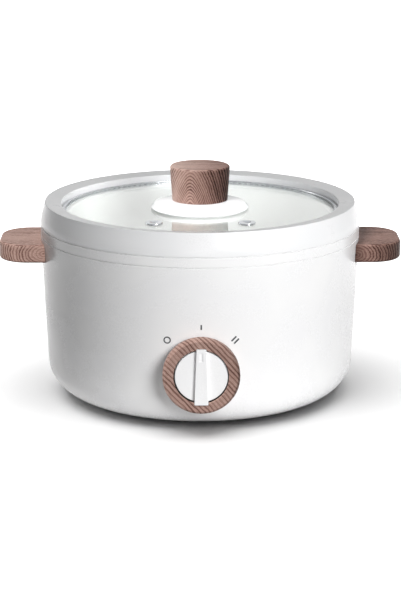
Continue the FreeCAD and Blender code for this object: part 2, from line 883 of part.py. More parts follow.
def make_thermostat_bracket():
    """Sheet strip that hooks under the thermostat's flange, with two ears on the plate."""
    seat = plate_underside - thermostat_flange_drop - thermostat_flange_height
    half_width = bracket_width / 2.0
    inner = bracket_leg_offset
    outer = inner + bracket_thickness
    far_end = outer + bracket_ear_length
    low = seat - bracket_thickness
    bridge = block(-outer, outer, -half_width, half_width, low, seat)
    pieces = [bridge.cut(cylinder(thermostat_radius + hole_clearance, low - 1.0, seat + 1.0))]
    for side in (0, 180):
        leg = block(inner, outer, -half_width, half_width, low, plate_underside)
        ear = block(inner, far_end, -half_width, half_width,
                    plate_underside - bracket_thickness, plate_underside)
        hole = cylinder(bracket_screw_radius + hole_clearance, plate_underside - 2.0,
                        plate_underside + 1.0, bracket_screw_offset)
        pieces += [turned_about_z(leg, side), turned_about_z(ear.cut(hole), side)]
    return fused(pieces)


def make_bracket_screws():
    """Two small screws through the bracket's ears into the heating plate."""
    seat = plate_underside - bracket_thickness
    head = cylinder(bracket_head_radius, seat - bracket_head_height, seat)
    shank_top = plate_underside + plate_hole_depth - hole_clearance
    screw = fused([head, cylinder(bracket_screw_radius, seat - 0.5, shank_top)])
    return group([moved(screw, x) for x in bracket_screw_xs])


def make_thermal_fuse():
    """Sleeved thermal fuse lying against the shield's underside."""
    level = shield_underside - fuse_radius
    start = FreeCAD.Vector(fuse_x, fuse_y - fuse_length / 2.0, level)
    return Part.makeCylinder(fuse_radius, fuse_length, start, Y)


def make_fuse_clip():
    """Spring clip around the fuse, with two ears on the shield."""
    level = shield_underside - fuse_radius
    outer = fuse_radius + fuse_clip_thickness
    half_width = fuse_clip_width / 2.0
    start = FreeCAD.Vector(fuse_x, fuse_y - half_width, level)
    shell = Part.makeCylinder(outer, fuse_clip_width, start, Y)
    legs = block(fuse_x - outer, fuse_x + outer, fuse_y - half_width, fuse_y + half_width,
                 level, shield_underside)
    ears = block(fuse_x - outer - fuse_clip_ear, fuse_x + outer + fuse_clip_ear,
                 fuse_y - half_width, fuse_y + half_width,
                 shield_underside - fuse_clip_thickness, shield_underside)
    channel = Part.makeCylinder(fuse_radius + running_clearance, 2.0 * fuse_clip_width,
                                start - Y * half_width, Y)
    slot = block(fuse_x - fuse_radius - running_clearance, fuse_x + fuse_radius + running_clearance,
                 fuse_y - fuse_clip_width, fuse_y + fuse_clip_width,
                 level, shield_underside + 1.0)
    return fused([shell, legs, ears]).cut([channel, slot])


# Handles


def make_handle_blank():
    """Right-hand handle: a flat tab with large rounded corners and softened edges."""
    half = handle_width / 2.0
    inner = body_radius * 0.75
    tab = prism([(inner, -half),
                 (handle_reach, -half, handle_corner_round),
                 (handle_reach, half, handle_corner_round),
                 (inner, half)], handle_top - handle_thickness, handle_top)
    levels = (handle_top - handle_thickness, handle_top)

    def is_rim(edge):
        box = edge.BoundBox
        flat = box.ZLength < 1e-6 and min(abs(box.ZMin - level) for level in levels) < 1e-6
        return flat and box.XMax > inner + 1e-3

    tab = rounded_edges(tab, handle_edge_round, is_rim)
    low = handle_top - 2.0 * handle_thickness
    high = handle_top + handle_thickness
    seat = Part.makeCone(side_radius(low) + handle_seat_clearance,
                         side_radius(high) + handle_seat_clearance,
                         high - low, FreeCAD.Vector(0, 0, low), Z)
    tab = tab.cut(seat)
    bores = [along_x(handle_screw_radius + running_clearance, handle_pad_face,
                     handle_screw_tip + 1.0, y) for y in handle_screw_ys]
    return tab.cut(bores)


def along_x(radius, start, end, y):
    """A cylinder along X at the handle's mid height."""
    return Part.makeCylinder(radius, end - start, FreeCAD.Vector(start, y, handle_middle), X)


def make_handle_plate_blank():
    """Right-hand steel plate inside the shell that spreads the screws' pull."""
    half = handle_plate_length / 2.0
    rise = handle_plate_height / 2.0
    plate = block(handle_pad_face - handle_plate_thickness, handle_pad_face, -half, half,
                  handle_middle - rise, handle_middle + rise)
    return plate.cut([along_x(handle_hole_radius, handle_pad_face / 2.0, handle_reach, y)
                      for y in handle_screw_ys])


def make_handle_screws():
    """Four screws from inside the shell into the handles."""
    head_face = handle_pad_face - handle_plate_thickness
    screws = []
    for y in handle_screw_ys:
        head = along_x(handle_head_radius, head_face - handle_head_height, head_face, y)
        shank = along_x(handle_screw_radius, head_face - 0.5, handle_screw_tip, y)
        screw = fused([head, shank])
        screws += [screw, turned_about_z(screw, 180)]
    return group(screws)


# Rotary switch and dial


def shaft_section(radius):
    """A round section with one flat, as a tool that removes the flat's side."""
    flat = shaft_flat + radius - shaft_radius
    return block(-2.0 * radius, 2.0 * radius, flat, 3.0 * radius, shaft_back, grip_front)


def make_rotary_switch():
    """Switch body behind the shell, with a threaded bush through it and three tabs."""
    back = switch_seat - switch_depth
    body = rounded_bar(switch_width, switch_height, switch_corner_round, back, switch_seat)
    bush = cylinder(switch_bush_radius, switch_seat - 0.5, switch_bush_front)
    tabs = [spade_tab(x, y, back - tab_length, back + 0.5, 90) for x, y in switch_tab_places]
    switch = fused([body, bush] + tabs)
    bore = cylinder(shaft_radius + running_clearance, shaft_back - 0.5, switch_bush_front + 1.0)
    return facing_front(switch.cut(bore), dial_height)


def make_switch_nut():
    """Thin hexagonal nut on the bush, against the shell's boss."""
    high = dial_boss_front + switch_nut_height
    nut = hexagon(switch_nut_flats, dial_boss_front, high)
    bore = cylinder(switch_bush_radius + running_clearance, dial_boss_front - 1.0, high + 1.0)
    return facing_front(nut.cut(bore), dial_height)


def make_switch_shaft():
    """Turning shaft with a flat where the dial grips it."""
    shaft = cylinder(shaft_radius, shaft_back, shaft_front)
    gripped = cylinder(dial_radius, face_flange_back, grip_front)
    flat = shaft_section(shaft_radius).common(gripped)
    return facing_front(shaft.cut(flat), dial_height)


def grip_outline(margin):
    """Outline of the grip bar, narrower at the pointer end, grown by a margin."""
    end = grip_half_length + margin
    top = grip_half_width_top + margin
    bottom = grip_half_width_bottom + margin
    corner_round = grip_end_round + margin
    return [(-bottom, -end, corner_round), (bottom, -end, corner_round),
            (top, end, corner_round), (-top, end, corner_round)]


def make_dial_ring():
    """Bevelled outer ring, notched for the ends of the grip bar."""
    ring = turned([(dial_seat_radius, dial_back),
                   (dial_radius, dial_back, dial_edge_round),
                   (dial_radius, dial_front - dial_bevel_depth, dial_edge_round),
                   (dial_radius - dial_bevel_width, dial_front, dial_edge_round),
                   (dial_inner_radius, dial_front, dial_edge_round),
                   (dial_inner_radius, face_flange_front),
                   (dial_seat_radius, face_flange_front)])
    notch = prism(grip_outline(grip_notch_clearance), face_flange_front - 0.5, dial_front + 1.0)
    notch = notch.cut(cylinder(dial_radius * 2.0, face_flange_front - 1.0, face_flange_front))
    return facing_front(ring.cut(notch), dial_height)


def make_dial_face():
    """Face disc with a flange behind the ring, a raised grip bar and a pointer slot."""
    disc = turned([(0, face_flange_back),
                   (dial_seat_radius - face_flange_clearance, face_flange_back),
                   (dial_seat_radius - face_flange_clearance, face_flange_front),
                   (face_radius, face_flange_front),
                   (face_radius, face_front, face_edge_round),
                   (0, face_front)])
    bar = prism(grip_outline(0.0), face_flange_front - 0.5, grip_front)
    bar = rounded_edges(bar, grip_edge_round, lambda edge: edge.BoundBox.ZMin > grip_front - 1e-6)
    slot = rounded_bar(pointer_slot_width, pointer_slot_length, 0.3 * pointer_slot_width,
                       grip_front - pointer_slot_depth, grip_front + 1.0)
    slot_middle = grip_half_length - pointer_slot_end_gap - pointer_slot_length / 2.0
    bore = cylinder(shaft_radius + running_clearance, face_flange_back - 1.0,
                    shaft_front + running_clearance)
    bore = bore.cut(shaft_section(shaft_radius + running_clearance))
    face = fused([disc, bar]).cut([moved(slot, 0.0, slot_middle), bore])
    return facing_front(face, dial_height)


def make_dial_marks():
    """Printed marks: a ring, one stroke and two strokes, as thin films on the shell."""
    layer_low = dial_height
    layer_high = dial_height + 2.0 * mark_circle_radius
    film = Part.makeCone(side_radius(layer_low) + mark_thickness,
                         side_radius(layer_high) + mark_thickness,
                         layer_high - layer_low, FreeCAD.Vector(0, 0, layer_low), Z)
    under = Part.makeCone(side_radius(layer_low), side_radius(layer_high),
                          layer_high - layer_low, FreeCAD.Vector(0, 0, layer_low), Z)
    film = film.cut(under)
    start = dial_boss_front / 2.0
    end = dial_boss_front * 1.2
    off_ring = tube(off_mark_radius, off_mark_radius - off_mark_stroke, start, end)
    low_stroke = rounded_bar(low_mark_width, low_mark_length, 0.2 * low_mark_width, start, end)
    high_stroke = rounded_bar(high_mark_width, high_mark_length, 0.2 * high_mark_width, start, end)
    apart = (high_mark_gap + high_mark_width) / 2.0
    stamps = [(off_ring, mark_angle_step), (low_stroke, 0.0),
              (moved(high_stroke, -apart), -mark_angle_step),
              (moved(high_stroke, apart), -mark_angle_step)]
    marks = []
    for stamp, angle in stamps:
        placed = turned_about_z(moved(stamp, 0.0, mark_circle_radius), angle)
        marks.append(film.common(facing_front(placed, dial_height)).Solids[0])
    return group(marks)


# Power inlet


def make_power_inlet():
    """Recessed appliance socket with a bezel; the socket has two bevelled corners."""
    bezel = rounded_bar(inlet_bezel_width, inlet_bezel_height, inlet_bezel_round,
                        inlet_pad_front, inlet_bezel_front)
    body = rounded_bar(inlet_body_width, inlet_body_height, inlet_body_round,
                       inlet_body_back, inlet_pad_front + 0.5)
    a = inlet_socket_width / 2.0
    b = inlet_socket_height / 2.0
    c = inlet_socket_chamfer
    socket = prism([(-a, -b), (a, -b), (a, b - c), (a - c, b), (c - a, b), (-a, b - c)],
                   inlet_socket_floor, inlet_bezel_front + 1.0)
    holes = [socket]
    for x in inlet_screw_xs:
        holes.append(cylinder(inlet_screw_radius + hole_clearance, inlet_pad_front - 1.0,
                              inlet_bezel_front + 1.0, x))
    for x, y in pin_places:
        holes.append(pin_blade(x, y, inlet_body_back - 1.0, inlet_socket_floor + 1.0))
    return facing_back(fused([bezel, body]).cut(holes), inlet_height)


def pin_blade(x, y, low, high):
    """A flat pin between two depths."""
    blade = rounded_bar(pin_thickness, pin_width, pin_edge_round, low, high)
    return moved(blade, x, y)


def make_inlet_pins():
    """Three blades that run through the socket's floor to tabs behind it."""
    low = inlet_body_back - tab_length
    return group([facing_back(pin_blade(x, y, low, inlet_socket_floor + pin_length), inlet_height)
                  for x, y in pin_places])


def make_inlet_screws():
    """Two small screws through the bezel."""
    head = cylinder(inlet_head_radius, inlet_bezel_front, inlet_bezel_front + inlet_head_height)
    shank = cylinder(inlet_screw_radius, inlet_bezel_front - inlet_screw_length + 0.5,
                     inlet_bezel_front + 0.5)
    screw = fused([head, shank])
    return group([facing_back(moved(screw, x), inlet_height) for x in inlet_screw_xs])


# Internal wiring; every route starts and ends on its terminals


def offset_from(place, x=0.0, y=0.0, z=0.0):
    """A point shifted from another."""
    return place[0] + x, place[1] + y, place[2] + z


def switch_tab_end(step):
    """Free end of a switch tab; step counts tabs from the middle one, to the right."""
    back = switch_seat - switch_depth - tab_length
    return step * switch_tab_spacing, -back, dial_height - switch_tab_drop


def thermostat_tab_end(side):
    """Free end of a thermostat tab; side is 1 for the right one and -1 for the left."""
    return side * thermostat_tab_spacing / 2.0, 0.0, thermostat_bottom - tab_length


def leg_end(ring_radius, side, shift=0.0):
    """Place on the end face of an element's leg, shifted along X from its centre."""
    x, y = element_leg(ring_radius, side)
    return x + shift, y, element_leg_bottom


def pin_end(x, rise):
    """Inner end of an inlet pin."""
    return x, inlet_body_back - tab_length, inlet_height + rise


def make_wire_live():
    """From the inlet's live pin to the fuse, and from the fuse to the switch."""
    pin = pin_end(pin_spacing / 2.0, -earth_pin_rise / 2.0)
    fuse_level = shield_underside - fuse_radius
    fuse_back = (fuse_x, fuse_y + fuse_length / 2.0, fuse_level)
    fuse_front = (fuse_x, fuse_y - fuse_length / 2.0, fuse_level)
    tab = switch_tab_end(1)
    first = [pin,
             offset_from(pin, 0, -8, 0),
             offset_from(pin, 6, -19, -13),
             (34, 64, wire_level + 1),
             (52, 44, wire_level + 4),
             offset_from(fuse_back, 0, 14, 0),
             fuse_back]
    second = [fuse_front,
              offset_from(fuse_front, 0, -12, 0),
              offset_from(fuse_front, -5, -34, -11),
              (39, -63, wire_level),
              (22, -84, wire_level + 4),
              offset_from(tab, 2, 10, -14),
              offset_from(tab, 0, 8, 0),
              tab]
    return group([wire_along(first), wire_along(second)])


def make_wire_neutral():
    """From the inlet's neutral pin to the thermostat."""
    pin = pin_end(-pin_spacing / 2.0, -earth_pin_rise / 2.0)
    tab = thermostat_tab_end(-1)
    return wire_along([pin,
                       offset_from(pin, 0, -8, 0),
                       offset_from(pin, -5, -19, -14),
                       (-20, 56, wire_level),
                       (-17, 27, wire_level - 2),
                       offset_from(tab, -3, 7, -19),
                       offset_from(tab, 0, 0, -9),
                       tab])


def make_wire_earth():
    """From the inlet's earth pin to the rim of the heat shield."""
    pin = pin_end(0.0, earth_pin_rise / 2.0)
    lug = (0, shield_radius, shield_upper_face + shield_rim_height / 2.0)
    return wire_along([pin,
                       offset_from(pin, 0, -6, 0),
                       offset_from(lug, 0, 6, 0),
                       lug])


def make_element_leads():
    """From thermostat and switch to the elements' legs, and a jumper between two legs."""
    leg_gap = 0.5 * element_tube_radius
    tab = thermostat_tab_end(1)
    inner_right = leg_end(inner_element_radius, 1, -leg_gap)
    from_thermostat = [tab,
                       offset_from(tab, 0, 0, -9),
                       offset_from(tab, 3, -9, -19),
                       (12, -32, wire_level - 2),
                       offset_from(inner_right, -2, 5, -11),
                       offset_from(inner_right, 0, 0, -6),
                       inner_right]
    start = leg_end(inner_element_radius, 1, leg_gap)
    end = leg_end(outer_element_radius, 1, leg_gap)
    jumper = [start,
              offset_from(start, 0, 0, -7),
              (start[0], (start[1] + end[1]) / 2.0, start[2] - 11),
              offset_from(end, 0, 0, -7),
              end]
    tab = switch_tab_end(0)
    leg = leg_end(outer_element_radius, -1)
    outer_feed = [tab,
                  offset_from(tab, 0, 8, 0),
                  offset_from(tab, -2, 10, -14),
                  offset_from(tab, -9, 18, -28),
                  offset_from(leg, 1, -4, -10),
                  offset_from(leg, 0, 0, -6),
                  leg]
    tab = switch_tab_end(-1)
    leg = leg_end(inner_element_radius, -1)
    inner_feed = [tab,
                  offset_from(tab, 0, 8, 0),
                  offset_from(tab, -4, 10, -14),
                  offset_from(tab, -19, 22, -29),
                  (-31, -62, wire_level - 1),
                  offset_from(leg, -3, -2, -11),
                  offset_from(leg, 0, 0, -6),
                  leg]
    return group([wire_along(route) for route in (from_thermostat, jumper, outer_feed, inner_feed)])


# Lid


def channel(outer, lip, thickness, edge, low, high, corner_round):
    """A ring of U section that opens towards the axis."""
    return turned([(lip, low),
                   (outer, low, corner_round),
                   (outer, high, corner_round),
                   (lip, high),
                   (lip, high - thickness),
                   (outer - edge, high - thickness),
                   (outer - edge, low + thickness),
                   (lip, low + thickness)])


def make_lid_rim():
    """Rolled steel band around the glass, which rests on the pot's flange."""
    return channel(lid_radius, lid_radius - rim_lip_width, rim_sheet, rim_sheet,
                   pot_flange_top, lid_rim_top, 0.8 * rim_sheet)


def make_lid_gasket():
    """Silicone seal between the band and the glass."""
    return channel(seal_outer_radius, lid_radius - seal_lip_width, seal_thickness,
                   glass_edge_seal, pot_flange_top + rim_sheet, lid_rim_top - rim_sheet, 0.0)


def make_lid_glass():
    """Flat glass disc with a hole for the knob's screw and two vent holes."""
    glass = cylinder(glass_radius, glass_bottom, glass_top)
    low = glass_bottom - 1.0
    high = glass_top + 1.0
    holes = [cylinder(glass_bore_radius, low, high)]
    for x in (-vent_x, vent_x):
        holes.append(cylinder(vent_barrel_radius + vent_glass_clearance, low, high, x, vent_y))
    return glass.cut(holes)


def make_vent_eyelet(x):
    """Steel eyelet that lines a vent hole, flanged above and below the glass."""
    top = glass_top + vent_flange_height
    bottom = glass_bottom - vent_lower_height
    eyelet = turned([(vent_bore_radius, bottom),
                     (vent_lower_radius, bottom),
                     (vent_lower_radius, glass_bottom),
                     (vent_barrel_radius, glass_bottom),
                     (vent_barrel_radius, glass_top),
                     (vent_flange_radius, glass_top),
                     (vent_flange_radius, top, 0.6 * vent_flange_height),
                     (2.0 * vent_bore_radius, top),
                     (vent_bore_radius, glass_top)])
    return moved(eyelet, x, vent_y)


def make_lid_collar():
    """Shallow domed collar under the knob, hollow below, with a boss for the screw."""
    top_flat_radius = knob_base_radius + knob_seat_margin
    screw_hole = knob_screw_radius + 3.0 * hole_clearance
    skirt_inner = lid_collar_seat_radius - lid_collar_wall
    return turned([(screw_hole, glass_top),
                   (lid_collar_boss_radius, glass_top),
                   (lid_collar_boss_radius, lid_collar_top - lid_collar_wall),
                   (top_flat_radius, lid_collar_top - lid_collar_wall),
                   (skirt_inner - 0.5 * lid_collar_wall,
                    glass_top + lid_collar_edge_height - lid_collar_wall),
                   (skirt_inner, glass_top),
                   (lid_collar_seat_radius, glass_top),
                   (lid_collar_radius, glass_top + lid_collar_bulge_height, 0.8),
                   (lid_collar_edge_radius, glass_top + lid_collar_edge_height, 0.5),
                   (top_flat_radius, lid_collar_top, 2.0),
                   (screw_hole, lid_collar_top)])


def make_lid_knob():
    """Flared knob, wider at the top, bored from below for its insert."""
    top = lid_collar_top + knob_height
    bore = insert_radius + running_clearance
    bore_top = lid_collar_top + insert_length + insert_end_room
    return turned([(bore, lid_collar_top),
                   (knob_base_radius, lid_collar_top, knob_base_round),
                   (knob_top_radius, top, knob_top_round),
                   (0, top),
                   (0, bore_top),
                   (bore, bore_top)])


def make_knob_insert():
    """Brass threaded insert in the knob."""
    return tube(insert_radius, knob_screw_radius + running_clearance, lid_collar_top,
                lid_collar_top + insert_length)


def make_knob_washer():
    """Silicone washer under the glass."""
    return tube(washer_radius, knob_screw_radius + hole_clearance,
                glass_bottom - washer_thickness, glass_bottom)


def make_knob_screw():
    """Screw from under the glass, through the collar, into the knob's insert."""
    seat = glass_bottom - washer_thickness
    bottom = seat - knob_screw_head_height
    tip = lid_collar_top + knob_screw_bite
    return turned([(0, bottom),
                   (knob_screw_head_radius, bottom, 0.5 * knob_screw_head_height),
                   (knob_screw_head_radius, seat),
                   (knob_screw_radius, seat),
                   (knob_screw_radius, tip),
                   (0, tip)])


# Every sub-part by its name


def build_parts():
    """Makes all the sub-parts, as a dictionary of shapes."""
    right_handle = make_handle_blank()
    right_plate = make_handle_plate_blank()
    parts = {
        "outer_shell": make_outer_shell(),
        "trim_band": make_trim_band(),
        "upper_collar": make_upper_collar(),
        "bottom_cover": make_bottom_cover(),
        "base_screws": make_base_screws(),
        "pot_gasket": make_pot_gasket(),
        "inner_pot": make_inner_pot(),
        "heat_plate": make_heat_plate(),
        "heating_element_outer": make_element(outer_element_radius),
        "heating_element_inner": make_element(inner_element_radius),
        "element_clamps": make_element_clamps(),
        "clamp_screws": make_clamp_screws(),
        "pot_studs": make_pot_studs(),
        "heat_shield": make_heat_shield(),
        "shield_nuts": make_shield_nuts(),
        "tie_rods": make_tie_rods(),
        "tie_screws": make_tie_screws(),
        "terminal_bushings": make_terminal_bushings(),
        "thermostat": make_thermostat(),
        "thermostat_bracket": make_thermostat_bracket(),
        "bracket_screws": make_bracket_screws(),
        "thermal_fuse": make_thermal_fuse(),
        "fuse_clip": make_fuse_clip(),
        "handle_right": right_handle,
        "handle_left": turned_about_z(right_handle, 180),
        "handle_plate_right": right_plate,
        "handle_plate_left": turned_about_z(right_plate, 180),
        "handle_screws": make_handle_screws(),
        "rotary_switch": make_rotary_switch(),
        "switch_nut": make_switch_nut(),
        "switch_shaft": make_switch_shaft(),
        "dial_ring": make_dial_ring(),
        "dial_face": make_dial_face(),
        "dial_marks": make_dial_marks(),
        "power_inlet": make_power_inlet(),
        "inlet_pins": make_inlet_pins(),
        "inlet_screws": make_inlet_screws(),
        "wire_live": make_wire_live(),
        "wire_neutral": make_wire_neutral(),
        "wire_earth": make_wire_earth(),
        "element_leads": make_element_leads(),
        "lid_rim": make_lid_rim(),
        "lid_gasket": make_lid_gasket(),
        "lid_glass": make_lid_glass(),
        "lid_collar": make_lid_collar(),
        "lid_knob": make_lid_knob(),
        "knob_insert": make_knob_insert(),
        "knob_washer": make_knob_washer(),
        "knob_screw": make_knob_screw(),
        "vent_eyelet_left": make_vent_eyelet(-vent_x),
        "vent_eyelet_right": make_vent_eyelet(vent_x),
    }
    foot_names = ("foot_back_right", "foot_back_left", "foot_front_left", "foot_front_right")
    for name, (x, y) in zip(foot_names, foot_places):
        parts[name] = make_foot(x, y)
    return parts


# Places shared by several sub-parts
stud_places = ring_places(stud_circle_radius, stud_count, stud_first_angle)
base_screw_places = ring_places(base_screw_circle_radius, base_screw_count, 0.0)
foot_places = ring_places(foot_circle_radius, 4, 45.0)
clamp_places = ring_places(element_mid_radius, clamp_count, clamp_first_angle)
leg_places = [element_leg(ring_radius, side)
              for ring_radius in (outer_element_radius, inner_element_radius)
              for side in (-1, 1)]
bracket_screw_offset = bracket_leg_offset + bracket_thickness + bracket_ear_length / 2.0
bracket_screw_xs = (-bracket_screw_offset, bracket_screw_offset)
handle_screw_ys = (-handle_screw_spacing / 2.0, handle_screw_spacing / 2.0)
handle_hole_radius = handle_screw_radius + 3.0 * hole_clearance
handle_wall_reach = chord_depth(side_radius(handle_middle), handle_screw_spacing / 2.0)
handle_pad_face = handle_wall_reach - shell_wall - handle_pad_rise
handle_screw_tip = handle_wall_reach + handle_screw_bite
switch_tab_places = [(step * switch_tab_spacing, -switch_tab_drop) for step in (-1, 0, 1)]
inlet_screw_offset = inlet_bezel_width / 2.0 - inlet_screw_inset
inlet_screw_xs = (-inlet_screw_offset, inlet_screw_offset)
pin_places = [(-pin_spacing / 2.0, -earth_pin_rise / 2.0),
              (pin_spacing / 2.0, -earth_pin_rise / 2.0),
              (0.0, earth_pin_rise / 2.0)]

os.makedirs("parts", exist_ok=True)
for node, shape in build_parts().items():
    shape.exportStep("parts/" + node + ".step")
    box = shape.BoundBox
    print(node, len(shape.Solids), "solids", round(shape.Volume / 1000.0, 2), "cm3",
          "valid" if shape.isValid() else "NOT VALID",
          [round(value, 1) for value in (box.XMin, box.XMax, box.YMin, box.YMax, box.ZMin, box.ZMax)])
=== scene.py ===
import math

import bmesh
import bpy
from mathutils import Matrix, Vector


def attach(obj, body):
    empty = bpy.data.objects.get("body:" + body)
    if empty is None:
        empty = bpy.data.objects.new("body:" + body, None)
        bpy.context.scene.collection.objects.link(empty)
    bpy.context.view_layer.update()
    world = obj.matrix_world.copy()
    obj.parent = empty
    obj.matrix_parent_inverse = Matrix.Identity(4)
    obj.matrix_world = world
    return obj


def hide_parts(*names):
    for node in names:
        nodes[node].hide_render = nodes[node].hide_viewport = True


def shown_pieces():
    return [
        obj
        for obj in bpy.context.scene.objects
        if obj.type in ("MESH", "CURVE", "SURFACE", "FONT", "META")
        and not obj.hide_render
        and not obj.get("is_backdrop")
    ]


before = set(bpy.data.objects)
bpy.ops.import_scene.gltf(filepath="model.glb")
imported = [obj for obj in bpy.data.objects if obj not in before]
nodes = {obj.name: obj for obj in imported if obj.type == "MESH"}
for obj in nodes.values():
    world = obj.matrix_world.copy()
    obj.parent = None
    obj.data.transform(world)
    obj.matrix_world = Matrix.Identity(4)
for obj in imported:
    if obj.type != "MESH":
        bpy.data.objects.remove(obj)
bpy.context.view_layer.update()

# Electric hot pot with a lift-off glass lid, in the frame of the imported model. Profiles and
# patterns are in millimetres. Meshes, the floor, the lamps and the camera are in metres.
scene = bpy.context.scene
millimetre = 0.001
mergeDistance = 0.000002
print("stage: frame loaded,", len(nodes), "nodes")


def shade(red, green, blue):  # a screen colour, 0 to 255, as linear light
    channels = [value / 255.0 for value in (red, green, blue)]
    return tuple(((value + 0.055) / 1.055) ** 2.4 if value > 0.04 else value / 12.92
                 for value in channels) + (1.0,)


def put(tree, kind, inputs=None, **settings):
    made = tree.nodes.new(kind)
    for label, value in settings.items():
        setattr(made, label, value)
    for label, value in (inputs or {}).items():
        if isinstance(value, bpy.types.NodeSocket):
            tree.links.new(value, made.inputs[label])
        else:
            made.inputs[label].default_value = value
    return made


def sums(tree, operation, *values):
    return put(tree, "ShaderNodeMath", dict(enumerate(values)), operation=operation).outputs[0]


def added(tree, *values):
    total = values[0]
    for value in values[1:]:
        total = sums(tree, "ADD", total, value)
    return total


def centred(tree, value, width):  # noise around zero, width from end to end
    return sums(tree, "MULTIPLY", sums(tree, "SUBTRACT", value, 0.5), width)


def rooted(tree, first, second):
    return sums(tree, "SQRT", sums(tree, "ADD", sums(tree, "MULTIPLY", first, first),
                                   sums(tree, "MULTIPLY", second, second)))


def ramp(tree, value, stops):  # stops are (place, colour or grey level)
    made = put(tree, "ShaderNodeValToRGB", {"Fac": value})
    marks = made.color_ramp.elements
    while len(marks) < len(stops):
        marks.new(0.5)
    for mark, (place, colour) in zip(marks, stops):
        mark.position = place
        mark.color = colour if isinstance(colour, tuple) else (colour, colour, colour, 1.0)
    return made.outputs["Color"]


def between(tree, value, low, high, fromLow=0.3, fromHigh=0.7):
    return put(tree, "ShaderNodeMapRange", {"Value": value, "From Min": fromLow,
               "From Max": fromHigh, "To Min": low, "To Max": high}).outputs[0]


def grain(tree, spot, scale, detail=3.0, rough=0.5):
    return put(tree, "ShaderNodeTexNoise",
               {"Vector": spot, "Scale": scale, "Detail": detail, "Roughness": rough}
               ).outputs[0]


def objectSpot(tree):  # object coordinates in millimetres
    where = put(tree, "ShaderNodeTexCoord").outputs["Object"]
    return put(tree, "ShaderNodeVectorMath", {0: where, "Scale": 1.0 / millimetre},
               operation="SCALE").outputs[0]


def blankFinish(name):
    material = bpy.data.materials.new(name)
    material.use_nodes = True
    tree = material.node_tree
    tree.nodes.clear()
    skin = put(tree, "ShaderNodeBsdfPrincipled")
    out = put(tree, "ShaderNodeOutputMaterial", {"Surface": skin.outputs[0]})
    return material, tree, skin, out


# Colour, the colour of its faint patches, roughness range, clear coat where it has one, and
# the height and pitch of the surface's texture
plainFinishes = {
    "shellWhite": {"colour": (246, 246, 246), "patch": (243, 243, 244), "rough": (0.24, 0.30),
                   "bump": 0.006, "pitch": 0.9},
    "rimWhite": {"colour": (244, 244, 245), "patch": (241, 242, 243), "rough": (0.26, 0.33),
                 "bump": 0.006, "pitch": 1.1},
    "dialWhite": {"colour": (247, 247, 247), "patch": (244, 244, 245), "rough": (0.25, 0.32),
                  "bump": 0.005, "pitch": 1.3,
                  # gap paints the rim of the white face near-black behind its front, painted shadow
                  # in the groove
                  "gap": {"centre": (0, 134.876, -50.6), "from": 20.65, "to": 26.0,
                          "front": 0.6}},
    "collarWhite": {"colour": (247, 247, 248), "patch": (244, 245, 246), "rough": (0.12, 0.18),
                    "bump": 0.004, "pitch": 1.2},
    "printGrey": {"colour": (64, 67, 70), "patch": (52, 55, 58), "rough": (0.5, 0.65),
                  "bump": 0.008, "pitch": 3.0},
    "potWhite": {"colour": (236, 236, 234), "patch": (228, 228, 225), "rough": (0.16, 0.26),
                 "coat": 0.2, "bump": 0.012, "pitch": 0.7},
    "sealClear": {"colour": (196, 199, 201), "patch": (182, 185, 188), "rough": (0.4, 0.5),
                  "bump": 0.010, "pitch": 1.6},
    "coverPlastic": {"colour": (214, 214, 212), "patch": (205, 205, 203), "rough": (0.42, 0.55),
                     "bump": 0.045, "pitch": 1.8},
    "blackPlastic": {"colour": (30, 30, 32), "patch": (24, 24, 26), "rough": (0.35, 0.5),
                     "bump": 0.040, "pitch": 2.2},
    "footRubber": {"colour": (44, 44, 46), "patch": (34, 34, 36), "rough": (0.65, 0.85),
                   "bump": 0.050, "pitch": 2.0},
    "ceramic": {"colour": (226, 222, 212), "patch": (214, 208, 196), "rough": (0.35, 0.5),
                "coat": 0.1, "bump": 0.030, "pitch": 1.4},
    "wireBrown": {"colour": (104, 60, 36), "patch": (88, 50, 30), "rough": (0.4, 0.5),
                  "bump": 0.020, "pitch": 1.0},
    "wireBlue": {"colour": (42, 84, 160), "patch": (34, 70, 140), "rough": (0.4, 0.5),
                 "bump": 0.020, "pitch": 1.0},
    "wireWhite": {"colour": (222, 220, 212), "patch": (206, 203, 194), "rough": (0.5, 0.65),
                  "bump": 0.050, "pitch": 1.5},
}
metalFinishes = {
    "lidSteel": {"colour": (206, 208, 211), "patch": (190, 193, 197), "rough": (0.16, 0.26),
                 "bump": 0.002, "pitch": 2.5},
    "screwSteel": {"colour": (178, 180, 184), "patch": (150, 152, 156), "rough": (0.22, 0.38),
                   "bump": 0.020, "pitch": 2.2},
    "sheetSteel": {"colour": (168, 171, 175), "patch": (146, 149, 153), "rough": (0.3, 0.48),
                   "bump": 0.030, "pitch": 1.2},
    "elementSteel": {"colour": (96, 93, 88), "patch": (70, 64, 58), "rough": (0.4, 0.6),
                     "bump": 0.030, "pitch": 1.5},
    "plateAluminium": {"colour": (196, 198, 201), "patch": (176, 178, 182), "rough": (0.35, 0.5),
                       "bump": 0.040, "pitch": 1.0},
    "brass": {"colour": (204, 172, 102), "patch": (176, 142, 78), "rough": (0.22, 0.36),
              "bump": 0.020, "pitch": 2.0},
}


# Near-black painted shadow for the groove round the dial's white face
paintedGapShadow = shade(26, 23, 22)


